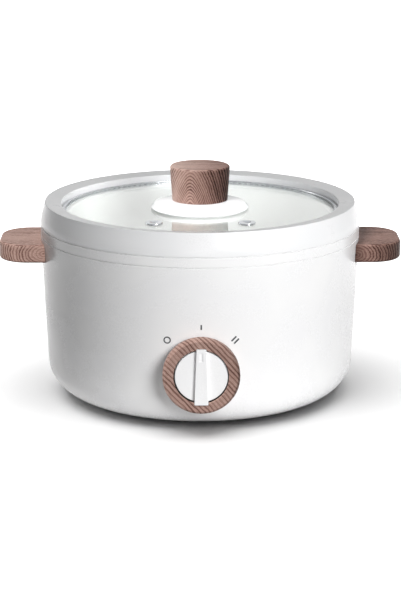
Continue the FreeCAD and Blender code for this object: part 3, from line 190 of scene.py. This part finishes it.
def paintGapShadow(tree, skin, sizes):  # paints shadow into the narrow groove round the dial's white face: a near-black ring of painted shade on the face's rim and on the wood ring's inner wall
    spot = put(tree, "ShaderNodeMapping", {"Vector": objectSpot(tree),
               "Location": sizes["centre"]}).outputs[0]
    xyz = put(tree, "ShaderNodeSeparateXYZ", {0: spot}).outputs
    away = rooted(tree, xyz["X"], xyz["Z"])
    gapShadowMask = sums(tree, "MULTIPLY", sums(tree, "GREATER_THAN", away, sizes["from"]),
                  sums(tree, "LESS_THAN", away, sizes["to"]))
    gapShadowMask = sums(tree, "MULTIPLY", gapShadowMask, sums(tree, "GREATER_THAN", xyz["Y"], -sizes["front"]))
    mixed = put(tree, "ShaderNodeMix", {0: gapShadowMask}, data_type="RGBA")
    tree.links.new(skin.inputs["Base Color"].links[0].from_socket, mixed.inputs[6])
    mixed.inputs[7].default_value = paintedGapShadow
    tree.links.new(mixed.outputs[2], skin.inputs["Base Color"])


surface = {"broadPitch": 0.03, "broadShare": 0.6, "fineShare": 0.4, "bumpStrength": 0.6}


def plainFinish(name, sizes, metal=False):
    material, tree, skin, out = blankFinish(name)
    spot = objectSpot(tree)
    broad = grain(tree, spot, surface["broadPitch"], detail=2.0)
    fine = grain(tree, spot, sizes["pitch"], detail=4.0, rough=0.6)
    tint = put(tree, "ShaderNodeMix", {0: between(tree, broad, 0.0, 1.0)}, data_type="RGBA")
    tint.inputs[6].default_value = shade(*sizes["colour"])  # the colour sockets, by place
    tint.inputs[7].default_value = shade(*sizes["patch"])
    tree.links.new(tint.outputs[2], skin.inputs["Base Color"])
    mixed = added(tree, sums(tree, "MULTIPLY", broad, surface["broadShare"]),
                  sums(tree, "MULTIPLY", fine, surface["fineShare"]))
    tree.links.new(between(tree, mixed, *sizes["rough"]), skin.inputs["Roughness"])
    if "gap" in sizes:
        paintGapShadow(tree, skin, sizes["gap"])
    bump = put(tree, "ShaderNodeBump", {"Height": fine, "Distance": sizes["bump"] * millimetre,
                                        "Strength": surface["bumpStrength"]})
    tree.links.new(bump.outputs[0], skin.inputs["Normal"])
    skin.inputs["Metallic"].default_value = 1.0 if metal else 0.0
    skin.inputs["Coat Weight"].default_value = sizes.get("coat", 0.0)
    return material


finishes = {name: plainFinish(name, sizes) for name, sizes in plainFinishes.items()}
finishes.update({name: plainFinish(name, sizes, True) for name, sizes in metalFinishes.items()})


earthWire = {"green": shade(54, 130, 62), "yellow": shade(222, 200, 60), "greenTo": 0.62,
             "yellowFrom": 0.66, "pitch": 1.6, "rough": 0.45}


def stripedWire(name, sizes):  # earth wire: green with a yellow stripe wound round it
    material, tree, skin, out = blankFinish(name)
    where = put(tree, "ShaderNodeSeparateXYZ", {0: objectSpot(tree)})
    slant = added(tree, where.outputs["X"], where.outputs["Z"])
    turn = sums(tree, "SINE", sums(tree, "MULTIPLY", slant, sizes["pitch"]))
    colour = ramp(tree, between(tree, turn, 0.0, 1.0, -1.0, 1.0),
                  [(0.0, sizes["green"]), (sizes["greenTo"], sizes["green"]),
                   (sizes["yellowFrom"], sizes["yellow"]), (1.0, sizes["yellow"])])
    tree.links.new(colour, skin.inputs["Base Color"])
    skin.inputs["Roughness"].default_value = sizes["rough"]
    return material


finishes["wireGreen"] = stripedWire("wireGreen", earthWire)

glass = {"tint": (0.965, 0.977, 0.974, 1.0), "lampTint": (0.9, 0.93, 0.92, 1.0), "bend": 1.52,
         "smearPitch": 0.02, "smearFrom": 0.45, "smearTo": 0.75, "rough": (0.0, 0.03)}


def clearGlass(name, sizes):  # lamps reach through it, so that the pot below is lit
    material, tree, skin, out = blankFinish(name)
    skin.inputs["Base Color"].default_value = sizes["tint"]
    skin.inputs["Transmission Weight"].default_value = 1.0
    skin.inputs["IOR"].default_value = sizes["bend"]
    smear = grain(tree, objectSpot(tree), sizes["smearPitch"], detail=3.0)
    tree.links.new(between(tree, smear, *sizes["rough"], sizes["smearFrom"], sizes["smearTo"]),
                   skin.inputs["Roughness"])
    gap = put(tree, "ShaderNodeBsdfTransparent", {"Color": sizes["lampTint"]})
    lamp = put(tree, "ShaderNodeLightPath").outputs["Is Shadow Ray"]
    both = put(tree, "ShaderNodeMixShader", {0: lamp, 1: skin.outputs[0], 2: gap.outputs[0]})
    tree.links.new(both.outputs[0], out.inputs["Surface"])
    return material


finishes["lidGlass"] = clearGlass("lidGlass", glass)

# Wood-grain film, light to dark. Each piece has its own ring lines, round its own centre.
woodTones = [(0.0, shade(216, 186, 174)), (0.28, shade(184, 150, 138)),
             (0.55, shade(138, 105, 95)), (0.8, shade(88, 62, 55)), (1.0, shade(48, 31, 27))]
lateStops = [(0.0, 1.0), (0.12, 0.72), (0.3, 0.2), (0.6, 0.0), (0.82, 0.35), (1.0, 1.0)]
finerStops = [(0.0, 1.0), (0.3, 0.15), (0.7, 0.0), (1.0, 1.0)]
film = {"swayPitch": 0.09, "tremblePitch": 0.42, "fibrePitch": 3.0, "porePitch": 6.5,
        "poreFrom": 0.6, "poreTo": 0.72, "broadPitch": 0.06, "faintest": 0.3, "finerRings": 2.7,
        "rough": (0.5, 0.62), "bump": 0.1, "bumpStrength": 0.4, "shine": 0.16}


def woodFinish(name, ringLines, look):
    material, tree, skin, out = blankFinish(name)
    spot = put(tree, "ShaderNodeMapping", {"Vector": objectSpot(tree),
               "Location": tuple(-value for value in look["centre"])}).outputs[0]
    xyz = put(tree, "ShaderNodeSeparateXYZ", {0: spot}).outputs
    along = put(tree, "ShaderNodeMapping", {"Vector": spot, "Scale": look["stretch"]}).outputs[0]
    sway = centred(tree, grain(tree, spot, film["swayPitch"], detail=2.0), look["sway"])
    tremble = centred(tree, grain(tree, spot, film["tremblePitch"], detail=3.0, rough=0.6),
                      look["tremble"])
    rings = sums(tree, "DIVIDE", added(tree, ringLines(tree, xyz, look), sway, tremble),
                 look["period"])
    chance = put(tree, "ShaderNodeTexWhiteNoise", {"W": sums(tree, "FLOOR", rings)},
                 noise_dimensions="1D").outputs[0]
    late = sums(tree, "MULTIPLY", ramp(tree, sums(tree, "FRACT", rings), lateStops),
                between(tree, chance, film["faintest"], 1.0, 0.0, 1.0))
    finer = ramp(tree, sums(tree, "FRACT", sums(tree, "MULTIPLY", rings, film["finerRings"])),
                 finerStops)
    fibre = centred(tree, grain(tree, along, film["fibrePitch"], detail=4.0, rough=0.65),
                    look["fibre"])
    pore = between(tree, grain(tree, along, film["porePitch"], detail=2.0), 0.0, look["pore"],
                   film["poreFrom"], film["poreTo"])
    broad = centred(tree, grain(tree, spot, film["broadPitch"], detail=2.0), look["broad"])
    # The piece is painted darker towards +X and lighter towards -X by lean: painted shade on its
    # right side and painted light on its left
    side = between(tree, xyz["X"], -1.0, 1.0, -look["half"], look["half"])
    lean = sums(tree, "MULTIPLY", side, look["lean"])
    # Faces above topLevel are painted lighter by paintedTopLight, a painted highlight on the top
    # faces
    top = sums(tree, "MULTIPLY", sums(tree, "GREATER_THAN", xyz["Z"], look["topLevel"]),
               look["paintedTopLight"])
    dark = added(tree, sums(tree, "MULTIPLY", late, look["contrast"]),
                 sums(tree, "MULTIPLY", finer, look["fine"]), fibre, pore, broad, lean, top,
                 look["tone"])
    tree.links.new(ramp(tree, dark, woodTones), skin.inputs["Base Color"])
    tree.links.new(between(tree, dark, *film["rough"], 0.0, 1.0), skin.inputs["Roughness"])
    if "gap" in look:
        paintGapShadow(tree, skin, look["gap"])
    bump = put(tree, "ShaderNodeBump", {"Height": dark, "Distance": film["bump"] * millimetre,
                                        "Strength": film["bumpStrength"]}, invert=True)
    tree.links.new(bump.outputs[0], skin.inputs["Normal"])
    skin.inputs["Specular IOR Level"].default_value = film["shine"]
    return material


def swapped(tree, mask, first, second):  # the first value where the mask is 0, else the second
    return put(tree, "ShaderNodeMix", {0: mask, 2: first, 3: second},
               data_type="FLOAT").outputs[0]


def archedRings(tree, xyz, look):  # nested arches at the front left, upright lines beside them
    aside = sums(tree, "SUBTRACT", xyz["X"], look["archX"])
    share = sums(tree, "DIVIDE", aside, look["archReach"])
    spread = sums(tree, "ADD", 1.0, sums(tree, "MULTIPLY", share, share))
    drop = sums(tree, "DIVIDE", look["archDrop"], spread)
    fall = sums(tree, "MULTIPLY", sums(tree, "SUBTRACT", xyz["Z"], look["archTop"]),
                sums(tree, "ADD", drop, look["sideDrop"]))
    upright = sums(tree, "MULTIPLY", rooted(tree, aside, look["archRound"]), look["slope"])
    side = added(tree, upright, fall, sums(tree, "MULTIPLY", xyz["Y"], look["sideDepth"]))
    top = added(tree, sums(tree, "MULTIPLY", xyz["Y"], look["topPitch"]),
                sums(tree, "MULTIPLY", xyz["X"], look["topSlant"]))
    return swapped(tree, sums(tree, "GREATER_THAN", xyz["Z"], look["topLevel"]), side, top)


def handleRings(tree, xyz, look):  # rings round an eye on the edge, straight lines on the flats
    across = sums(tree, "MULTIPLY", sums(tree, "SUBTRACT", xyz["X"], look["eye"][0]),
                  look["squeeze"][0])
    up = sums(tree, "MULTIPLY", sums(tree, "SUBTRACT", xyz["Z"], look["eye"][1]),
              look["squeeze"][1])
    edge = added(tree, rooted(tree, across, up),
                 sums(tree, "MULTIPLY", xyz["Y"], look["edgeDepth"]))
    flat = added(tree, sums(tree, "MULTIPLY", xyz["Y"], look["flatPitch"]),
                 sums(tree, "MULTIPLY", xyz["X"], look["flatSlant"]))
    onFlat = sums(tree, "GREATER_THAN", sums(tree, "ABSOLUTE", xyz["Z"]), look["flatLevel"])
    return swapped(tree, onFlat, edge, flat)


def slantedRings(tree, xyz, look):  # lines falling to the right across the dial's ring
    return added(tree, sums(tree, "MULTIPLY", xyz["X"], look["slant"][0]),
                 sums(tree, "MULTIPLY", xyz["Z"], look["slant"][1]),
                 sums(tree, "MULTIPLY", xyz["Y"], look["depth"]))


# On the knob, lean paints its right side darker and its left lighter, and paintedTopLight paints
# its top lighter: painted shade and light
knobLook = {"centre": (0, 0, 161.7), "period": 2.7, "sway": 2.6, "tremble": 1.5,
            "stretch": (0.5, 0.5, 0.14), "fibre": 0.42, "pore": 0.2, "broad": 0.2,
            "contrast": 0.8, "fine": 0.2, "lean": 0.3, "half": 24.0, "tone": 0.26,
            "archX": -8.5, "archReach": 12.0, "archRound": 3.0, "archTop": 30.0,
            "archDrop": 0.8, "sideDrop": 0.2, "sideDepth": 0.3, "slope": 0.95,
            "topLevel": 27.9, "paintedTopLight": -0.18, "topPitch": 0.62, "topSlant": 0.04}
# The handles' paintedTopLight paints their top flats lighter, a painted highlight
handleLook = {"period": 2.1, "sway": 2.6, "tremble": 1.5, "stretch": (0.1, 0.5, 0.5),
              "fibre": 0.45, "pore": 0.25, "broad": 0.2, "contrast": 0.68, "fine": 0.2,
              "lean": 0.0, "half": 18.0, "squeeze": (0.75, 1.1), "edgeDepth": 0.25,
              "flatPitch": 0.5, "flatSlant": 0.05, "flatLevel": 6.7, "topLevel": 6.7,
              "paintedTopLight": -0.06}
dialLook = {"centre": (0, -134.0, 50.6), "period": 3.1, "sway": 2.4, "tremble": 1.0,
            "stretch": (0.28, 0.5, 0.28), "fibre": 0.4, "pore": 0.2, "broad": 0.22,
            "contrast": 0.66, "fine": 0.24, "lean": 0.0, "half": 30.0, "tone": 0.12,
            "slant": (0.74, 0.67), "depth": 0.35, "topLevel": 99.0, "paintedTopLight": 0.0,
            # gap paints the wood ring's inner wall near-black, painted shadow in the groove
            "gap": {"centre": (0, 134.876, -50.6), "from": 0.0, "to": 21.7, "front": 3.0}}
finishes["knobWood"] = woodFinish("knobWood", archedRings, knobLook)
# The two handles share one film; the left is painted lighter and the right darker by their tones,
# painted light and painted shade
finishes["paintedLightLeftWood"] = woodFinish("paintedLightLeftWood", handleRings, dict(
    handleLook, centre=(-146, 0, 123.5), eye=(19.0, 0.5), tone=0.15))
finishes["paintedShadeRightWood"] = woodFinish("paintedShadeRightWood", handleRings, dict(
    handleLook, centre=(146, 0, 123.5), eye=(-20.0, -1.0), tone=0.35))
finishes["dialWood"] = woodFinish("dialWood", slantedRings, dialLook)
print("stage: finishes made,", len(finishes))

# Finish of each CAD node, also of those that a turned piece replaces
nodeFinishes = {
    "shellWhite": ["outer_shell", "trim_band"],
    "rimWhite": ["upper_collar"],
    "potWhite": ["inner_pot"],
    "lidGlass": ["lid_glass"],
    "lidSteel": ["lid_rim", "vent_eyelet_left", "vent_eyelet_right"],
    "collarWhite": ["lid_collar"],
    "knobWood": ["lid_knob"],
    "paintedLightLeftWood": ["handle_left"],
    "paintedShadeRightWood": ["handle_right"],
    "dialWood": ["dial_ring"],
    "dialWhite": ["dial_face"],
    "printGrey": ["dial_marks"],
    "sealClear": ["pot_gasket", "lid_gasket", "knob_washer"],
    "coverPlastic": ["bottom_cover"],
    "footRubber": ["foot_back_right", "foot_back_left", "foot_front_left", "foot_front_right"],
    "blackPlastic": ["power_inlet", "rotary_switch"],
    "screwSteel": ["base_screws", "tie_screws", "clamp_screws", "shield_nuts", "bracket_screws",
                   "inlet_screws", "knob_screw", "handle_screws", "switch_nut", "pot_studs",
                   "tie_rods", "switch_shaft"],
    "sheetSteel": ["heat_shield", "thermostat_bracket", "fuse_clip", "element_clamps",
                   "handle_plate_left", "handle_plate_right", "thermostat"],
    "elementSteel": ["heating_element_outer", "heating_element_inner"],
    "plateAluminium": ["heat_plate"],
    "brass": ["knob_insert", "inlet_pins"],
    "ceramic": ["terminal_bushings"],
    "wireBrown": ["wire_live"],
    "wireBlue": ["wire_neutral"],
    "wireGreen": ["wire_earth"],
    "wireWhite": ["element_leads", "thermal_fuse"],
}
for finish, names in nodeFinishes.items():
    for name in names:
        piece = nodes[name]
        if not piece.material_slots:
            piece.data.materials.append(finishes[finish])
        for place in piece.material_slots:
            place.material = finishes[finish]
print("stage: CAD nodes finished")


# A small arc has a point a little way off on each side, which keeps the flats beside it flat
arcStep, leastParts = 10.0, 3
holdMost, holdShare, smallArc = 0.35, 0.2, 10.0


def softened(corners, step=arcStep):  # (radius, level, round) corners, with arcs cut in steps
    points = []
    count = len(corners)
    for index, corner in enumerate(corners):
        here = Vector(corner[:2])
        radius = corner[2] if len(corner) > 2 else 0.0
        if radius <= 0.0:
            points.append(here)
            continue
        back = (Vector(corners[index - 1][:2]) - here).normalized()
        ahead = (Vector(corners[(index + 1) % count][:2]) - here).normalized()
        half = back.angle(ahead) / 2.0
        reach = radius / math.tan(half)
        middle = here + (back + ahead).normalized() * (radius / math.sin(half))
        start, end = here + back * reach - middle, here + ahead * reach - middle
        first = math.atan2(start.y, start.x)
        sweep = math.atan2(start.x * end.y - start.y * end.x, start.dot(end))
        parts = max(leastParts, math.ceil(abs(math.degrees(sweep)) / step))
        hold = min(holdMost, holdShare * radius) if radius < smallArc else 0.0
        if hold:
            points.append(here + back * (reach + hold))
        for part in range(parts + 1):
            angle = first + sweep * part / parts
            points.append(middle + radius * Vector((math.cos(angle), math.sin(angle))))
        if hold:
            points.append(here + ahead * (reach + hold))
    return points + points[:1]


def turningTree():  # turns a profile of points about Z
    tree = bpy.data.node_groups.new("turnedPiece", "GeometryNodeTree")
    tree.is_modifier = True
    face = tree.interface
    face.new_socket("Profile", in_out="INPUT", socket_type="NodeSocketGeometry")
    face.new_socket("Segments", in_out="INPUT", socket_type="NodeSocketInt")
    face.new_socket("Finish", in_out="INPUT", socket_type="NodeSocketMaterial")
    face.new_socket("Piece", in_out="OUTPUT", socket_type="NodeSocketGeometry")
    given = put(tree, "NodeGroupInput").outputs
    count = put(tree, "GeometryNodeAttributeDomainSize",
                {0: given["Profile"]}).outputs["Point Count"]
    grid = put(tree, "GeometryNodeMeshGrid", {
        "Vertices X": sums(tree, "ADD", given["Segments"], 1.0), "Vertices Y": count})
    index = put(tree, "GeometryNodeInputIndex").outputs[0]
    column = sums(tree, "FLOOR", sums(tree, "DIVIDE", index, count))
    row = sums(tree, "SUBTRACT", index, sums(tree, "MULTIPLY", column, count))
    spot = put(tree, "GeometryNodeInputPosition").outputs[0]
    picked = put(tree, "GeometryNodeSampleIndex", data_type="FLOAT_VECTOR")
    for label, source in (("Geometry", given["Profile"]), ("Value", spot), ("Index", row)):
        socket = next(one for one in picked.inputs if one.name == label and one.enabled)
        tree.links.new(source, socket)
    value = next(one for one in picked.outputs if one.enabled)
    parts = put(tree, "ShaderNodeSeparateXYZ", {0: value}).outputs
    angle = sums(tree, "DIVIDE", sums(tree, "MULTIPLY", column, math.tau), given["Segments"])
    place = put(tree, "ShaderNodeCombineXYZ", {
        "X": sums(tree, "MULTIPLY", parts["X"], sums(tree, "COSINE", angle)),
        "Y": sums(tree, "MULTIPLY", parts["X"], sums(tree, "SINE", angle)), "Z": parts["Z"]})
    shaped = put(tree, "GeometryNodeSetPosition", {0: grid.outputs[0],
                 "Position": place.outputs[0]})
    merged = put(tree, "GeometryNodeMergeByDistance", {0: shaped.outputs[0],
                 "Distance": mergeDistance})
    smooth = put(tree, "GeometryNodeSetShadeSmooth", {0: merged.outputs[0]})
    real = put(tree, "GeometryNodeRealizeInstances", {0: smooth.outputs[0]})
    painted = put(tree, "GeometryNodeSetMaterial", {0: real.outputs[0],
                  "Material": given["Finish"]})
    put(tree, "NodeGroupOutput", {0: painted.outputs[0]})
    return tree


def repeatTree():  # copies of one piece, evenly on a circle about Z
    tree = bpy.data.node_groups.new("piecesOnCircle", "GeometryNodeTree")
    tree.is_modifier = True
    face = tree.interface
    face.new_socket("Piece", in_out="INPUT", socket_type="NodeSocketGeometry")
    face.new_socket("Count", in_out="INPUT", socket_type="NodeSocketInt")
    face.new_socket("Radius", in_out="INPUT", socket_type="NodeSocketFloat")
    face.new_socket("First Angle", in_out="INPUT", socket_type="NodeSocketFloat")
    face.new_socket("Finish", in_out="INPUT", socket_type="NodeSocketMaterial")
    face.new_socket("Pieces", in_out="OUTPUT", socket_type="NodeSocketGeometry")
    given = put(tree, "NodeGroupInput").outputs
    ring = put(tree, "GeometryNodeMeshCircle", {"Vertices": given["Count"],
               "Radius": given["Radius"]})
    turn = put(tree, "ShaderNodeCombineXYZ", {"Z": given["First Angle"]})
    turned = put(tree, "GeometryNodeTransform", {"Geometry": ring.outputs[0],
                 "Rotation": turn.outputs[0]})
    copies = put(tree, "GeometryNodeInstanceOnPoints", {"Points": turned.outputs[0],
                 "Instance": given["Piece"]})
    smooth = put(tree, "GeometryNodeSetShadeSmooth", {0: copies.outputs[0]})
    real = put(tree, "GeometryNodeRealizeInstances", {0: smooth.outputs[0]})
    painted = put(tree, "GeometryNodeSetMaterial", {0: real.outputs[0],
                  "Material": given["Finish"]})
    put(tree, "NodeGroupOutput", {0: painted.outputs[0]})
    return tree


turning, repeating = turningTree(), repeatTree()


def grown(piece, tree, values):  # runs a node tree on a piece and keeps the plain mesh
    modifier = piece.modifiers.new(tree.name, "NODES")
    modifier.node_group = tree
    for socket in tree.interface.items_tree:
        if socket.in_out == "INPUT" and socket.name in values:
            modifier[socket.identifier] = values[socket.name]
    piece.update_tag()
    depsgraph = bpy.context.evaluated_depsgraph_get()
    mesh = bpy.data.meshes.new_from_object(piece.evaluated_get(depsgraph))
    piece.modifiers.clear()
    piece.data = mesh
    return mesh


def turnedOutwards(mesh, sharp=32.0):  # merged, with faces outwards and edges past 32 degrees sharp
    shape = bmesh.new()
    shape.from_mesh(mesh)
    bmesh.ops.remove_doubles(shape, verts=shape.verts, dist=mergeDistance)
    loose = [edge for edge in shape.edges if not edge.link_faces]
    bmesh.ops.delete(shape, geom=loose, context="EDGES")
    bmesh.ops.recalc_face_normals(shape, faces=shape.faces)
    shape.to_mesh(mesh)
    shape.free()
    mesh.set_sharp_from_angle(angle=math.radians(sharp))


def turnedPiece(name, sizes):
    points = softened(sizes["profile"], sizes.get("step", arcStep))
    mesh = bpy.data.meshes.new(name)
    mesh.from_pydata([(point.x * millimetre, 0.0, point.y * millimetre) for point in points],
                     [(index, index + 1) for index in range(len(points) - 1)], [])
    piece = bpy.data.objects.new(name, mesh)
    scene.collection.objects.link(piece)
    turnedOutwards(grown(piece, turning, {"Segments": sizes["segments"],
                                          "Finish": finishes[sizes["finish"]]}))
    return piece


# Turned pieces, with their profiles as (radius, level, round)
turnedSizes = {
    "collarRim": {"body": "base", "slot": "rim_white", "stands": ["upper_collar"],
                  "finish": "rimWhite", "segments": 224, "step": 3.0,
                  "profile": [(131.0, 143.4, 0.3), (131.0, 147.5, 27.1), (127.2, 162.0, 0.6),
                              (113.9, 160.3, 0.9), (113.9, 146.0), (109.6, 146.0),
                              (109.6, 143.5), (116.4, 143.5), (116.4, 157.8), (124.7, 159.5),
                              (128.5, 147.5), (128.5, 145.9), (125.4, 145.9), (125.4, 130.4),
                              (127.9, 130.4), (127.9, 143.4)]},
    "trimRing": {"body": "base", "slot": "white_shell", "stands": ["trim_band"],
                 "finish": "shellWhite", "segments": 224,
                 "profile": [(128.1, 134.6), (130.0, 134.6), (130.75, 135.0, 0.35),
                             (130.0, 135.4), (131.0, 135.4, 0.2), (131.0, 142.6, 0.2),
                             (130.0, 142.6), (130.75, 143.0, 0.35), (130.0, 143.4),
                             (128.1, 143.4)]},
    "cookingPot": {"body": "base", "slot": "pot_white", "stands": ["inner_pot"],
                   "finish": "potWhite", "segments": 192,
                   "profile": [(0, 58), (100, 58, 16), (106, 149, 1.4), (113.4, 149),
                               (113.4, 147), (108.5, 147), (102.5, 55.5, 18.5), (0, 55.5)]},
    "lidBand": {"body": "lid", "slot": "lid_steel", "stands": ["lid_rim"],
                "finish": "lidSteel", "segments": 224, "step": 15.0,
                "profile": [(110.5, 149.0), (113.4, 149.0, 0.48), (113.4, 155.4, 0.48),
                            (110.5, 155.4, 0.12), (110.5, 154.8, 0.12), (112.8, 154.8),
                            (112.8, 149.6), (110.5, 149.6)]},
    "knobPlate": {"body": "lid", "slot": "rim_white", "stands": ["lid_collar"],
                  "finish": "collarWhite", "segments": 160,
                  "profile": [(2.3, 154.2), (7.0, 154.2), (7.0, 159.5), (23.2, 159.5),
                              (35.6, 156.8), (36.7, 154.2), (38.9, 154.2, 0.2),
                              (40.4, 155.8, 0.8), (37.4, 159.0, 0.5), (23.2, 161.7, 2.0),
                              (2.3, 161.7)]},
    "lidKnob": {"body": "lid", "slot": "wood_grain", "stands": ["lid_knob"],
                "finish": "knobWood", "segments": 160,
                "profile": [(4.05, 161.7), (22.7, 161.7, 0.4), (24.7, 190.4, 2.0),
                            (0, 190.4), (0, 175.7), (4.05, 175.7)]},
}
madePieces = {}
for name, sizes in turnedSizes.items():
    madePieces[name] = turnedPiece(name, sizes)
    print("stage:", name, "turned,", len(madePieces[name].data.polygons), "faces")

# Feet, made once and set round the base
repeatedSizes = {
    "rubberFeet": {"body": "base", "slot": "foot_rubber", "finish": "footRubber",
                   "stands": ["foot_back_right", "foot_back_left", "foot_front_left",
                              "foot_front_right"],
                   "segments": 64, "count": 4, "circle": 79.0, "first": 45.0,
                   "profile": [(0, 0.5), (3.6, 0.5, 0.3), (4.2, 0.0, 0.3), (9.0, 0.0, 1.0),
                               (9.0, 3.5), (3.5, 3.5), (3.5, 6.0), (4.6, 6.0, 0.3),
                               (3.5, 8.4, 0.5), (0, 8.4)]},
}
for name, sizes in repeatedSizes.items():
    piece = turnedPiece(name, sizes)
    grown(piece, repeating, {"Count": sizes["count"], "Radius": sizes["circle"] * millimetre,
                             "First Angle": math.radians(sizes["first"]),
                             "Finish": finishes[sizes["finish"]]})
    turnedOutwards(piece.data)
    madePieces[name] = piece
    print("stage:", name, "set out,", len(piece.data.polygons), "faces")

for name, sizes in list(turnedSizes.items()) + list(repeatedSizes.items()):
    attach(madePieces[name], sizes["body"])
    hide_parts(*sizes["stands"])

# The floor looks pale close to the pot and plain white farther off, from plainFrom to plainTo,
# and the light that it throws up on the pot comes mostly from close by
floorSizes = {"half": 6.0, "visible": 0.95, "nearBounce": 0.8, "farBounce": 0.05,
              "bounceFrom": 0.14, "bounceTo": 0.20, "plainFrom": 0.34, "plainTo": 0.62}


def makeFloor(sizes):
    mesh = bpy.data.meshes.new("floor")
    half = sizes["half"]
    mesh.from_pydata([(-half, -half, 0), (half, -half, 0), (half, half, 0), (-half, half, 0)],
                     [], [(0, 1, 2, 3)])
    made = bpy.data.objects.new("floor", mesh)
    scene.collection.objects.link(made)
    material, tree, skin, out = blankFinish("paleFloor")
    tree.nodes.remove(skin)
    path = put(tree, "ShaderNodeLightPath").outputs
    seen = sums(tree, "MAXIMUM", path["Is Camera Ray"],
                sums(tree, "MAXIMUM", path["Is Glossy Ray"], path["Is Transmission Ray"]))
    where = put(tree, "ShaderNodeTexCoord").outputs["Object"]
    away = put(tree, "ShaderNodeVectorMath", {0: where}, operation="LENGTH").outputs["Value"]
    bounce = between(tree, away, sizes["nearBounce"], sizes["farBounce"],
                     sizes["bounceFrom"], sizes["bounceTo"])
    paint = put(tree, "ShaderNodeBsdfDiffuse", {"Color": swapped(tree, seen, bounce,
                                                                 sizes["visible"])})
    plain = between(tree, away, 0.0, 1.0, sizes["plainFrom"], sizes["plainTo"])
    glow = put(tree, "ShaderNodeEmission", {"Strength": sums(tree, "MULTIPLY", plain, seen)})
    lit = put(tree, "ShaderNodeAddShader", {0: paint.outputs[0], 1: glow.outputs[0]})
    tree.links.new(lit.outputs[0], out.inputs["Surface"])
    mesh.materials.append(material)
    made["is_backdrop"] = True
    return made


floor = makeFloor(floorSizes)

worldSizes = {"ambient": 0.085, "seen": 1.0}
world = bpy.data.worlds.new("studio")
world.use_nodes = True
scene.world = world
worldTree = world.node_tree
worldTree.nodes.clear()
worldPath = put(worldTree, "ShaderNodeLightPath").outputs
worldSeen = sums(worldTree, "MAXIMUM", worldPath["Is Camera Ray"], sums(
    worldTree, "MAXIMUM", worldPath["Is Glossy Ray"], worldPath["Is Transmission Ray"]))
backdrop = put(worldTree, "ShaderNodeBackground", {"Color": (1, 1, 1, 1), "Strength": between(
    worldTree, worldSeen, worldSizes["ambient"], worldSizes["seen"], 0.0, 1.0)})
put(worldTree, "ShaderNodeOutputWorld", {"Surface": backdrop.outputs[0]})

# Level is the lamp's share of plain white on a surface that faces it
lamps = {
    "key": {"from": (0.95, -1.62, 0.93), "at": (0, 0, 0.08), "size": 0.9, "level": 0.91,
            "lights": "pale"},
    "front": {"from": (-0.05, -2.0, 0.14), "at": (0, 0, 0.08), "size": 0.7, "level": 0.09,
              "lights": "pale"},
    "woodKey": {"from": (-0.75, -1.60, 1.75), "at": (0, 0, 0.12), "size": 0.8, "level": 0.95,
                "lights": "wood"},
    "back": {"from": (-1.5, 0.75, 0.7), "at": (0, 0, 0.09), "size": 0.6, "level": 0.12,
             "lights": "pale"},
    "overhead": {"from": (-0.16, -0.1, 2.0), "at": (0, 0, 0), "size": 3.0, "level": 2.0,
                 "lights": "floor"},
}
lightGroups = {name: bpy.data.collections.new(name + "Group")
               for name in ("pale", "wood", "floor")}
lightGroups["floor"].objects.link(floor)
for piece in list(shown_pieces()) + list(madePieces.values()):
    isWood = any(place.material and place.material.name.endswith("Wood")
                 for place in piece.material_slots)
    group = lightGroups["wood" if isWood else "pale"]
    if piece.name not in group.objects:
        group.objects.link(piece)
lightGroups["wood"].objects.link(madePieces["knobPlate"])


def makeLamp(name, sizes):
    data = bpy.data.lights.new(name, "AREA")
    data.shape = "DISK"
    data.size = sizes["size"]
    lamp = bpy.data.objects.new(name, data)
    scene.collection.objects.link(lamp)
    start, target = Vector(sizes["from"]), Vector(sizes["at"])
    lamp.location = start
    lamp.rotation_mode = "QUATERNION"
    lamp.rotation_quaternion = (target - start).to_track_quat("-Z", "Y")
    data.energy = sizes["level"] * math.pi ** 2 * (target - start).length_squared
    lamp.light_linking.receiver_collection = lightGroups[sizes["lights"]]


for name, sizes in lamps.items():
    makeLamp(name, sizes)

# The lens and sensor are in millimetres, and the camera looks down and right by degrees
cameraSizes = {"place": (-0.0127, -1.6130, 0.4991), "lens": 119.8, "sensor": 36.0,
               "down": 14.717, "right": 0.468}
cameraData = bpy.data.cameras.new("camera")
cameraData.lens = cameraSizes["lens"]
cameraData.sensor_width = cameraSizes["sensor"]
camera = bpy.data.objects.new("camera", cameraData)
scene.collection.objects.link(camera)
camera.location = cameraSizes["place"]
camera.rotation_euler = (math.radians(90 - cameraSizes["down"]), 0,
                         -math.radians(cameraSizes["right"]))
scene.camera = camera
scene.view_settings.view_transform = "Standard"
print("stage: floor, lamps and camera set")
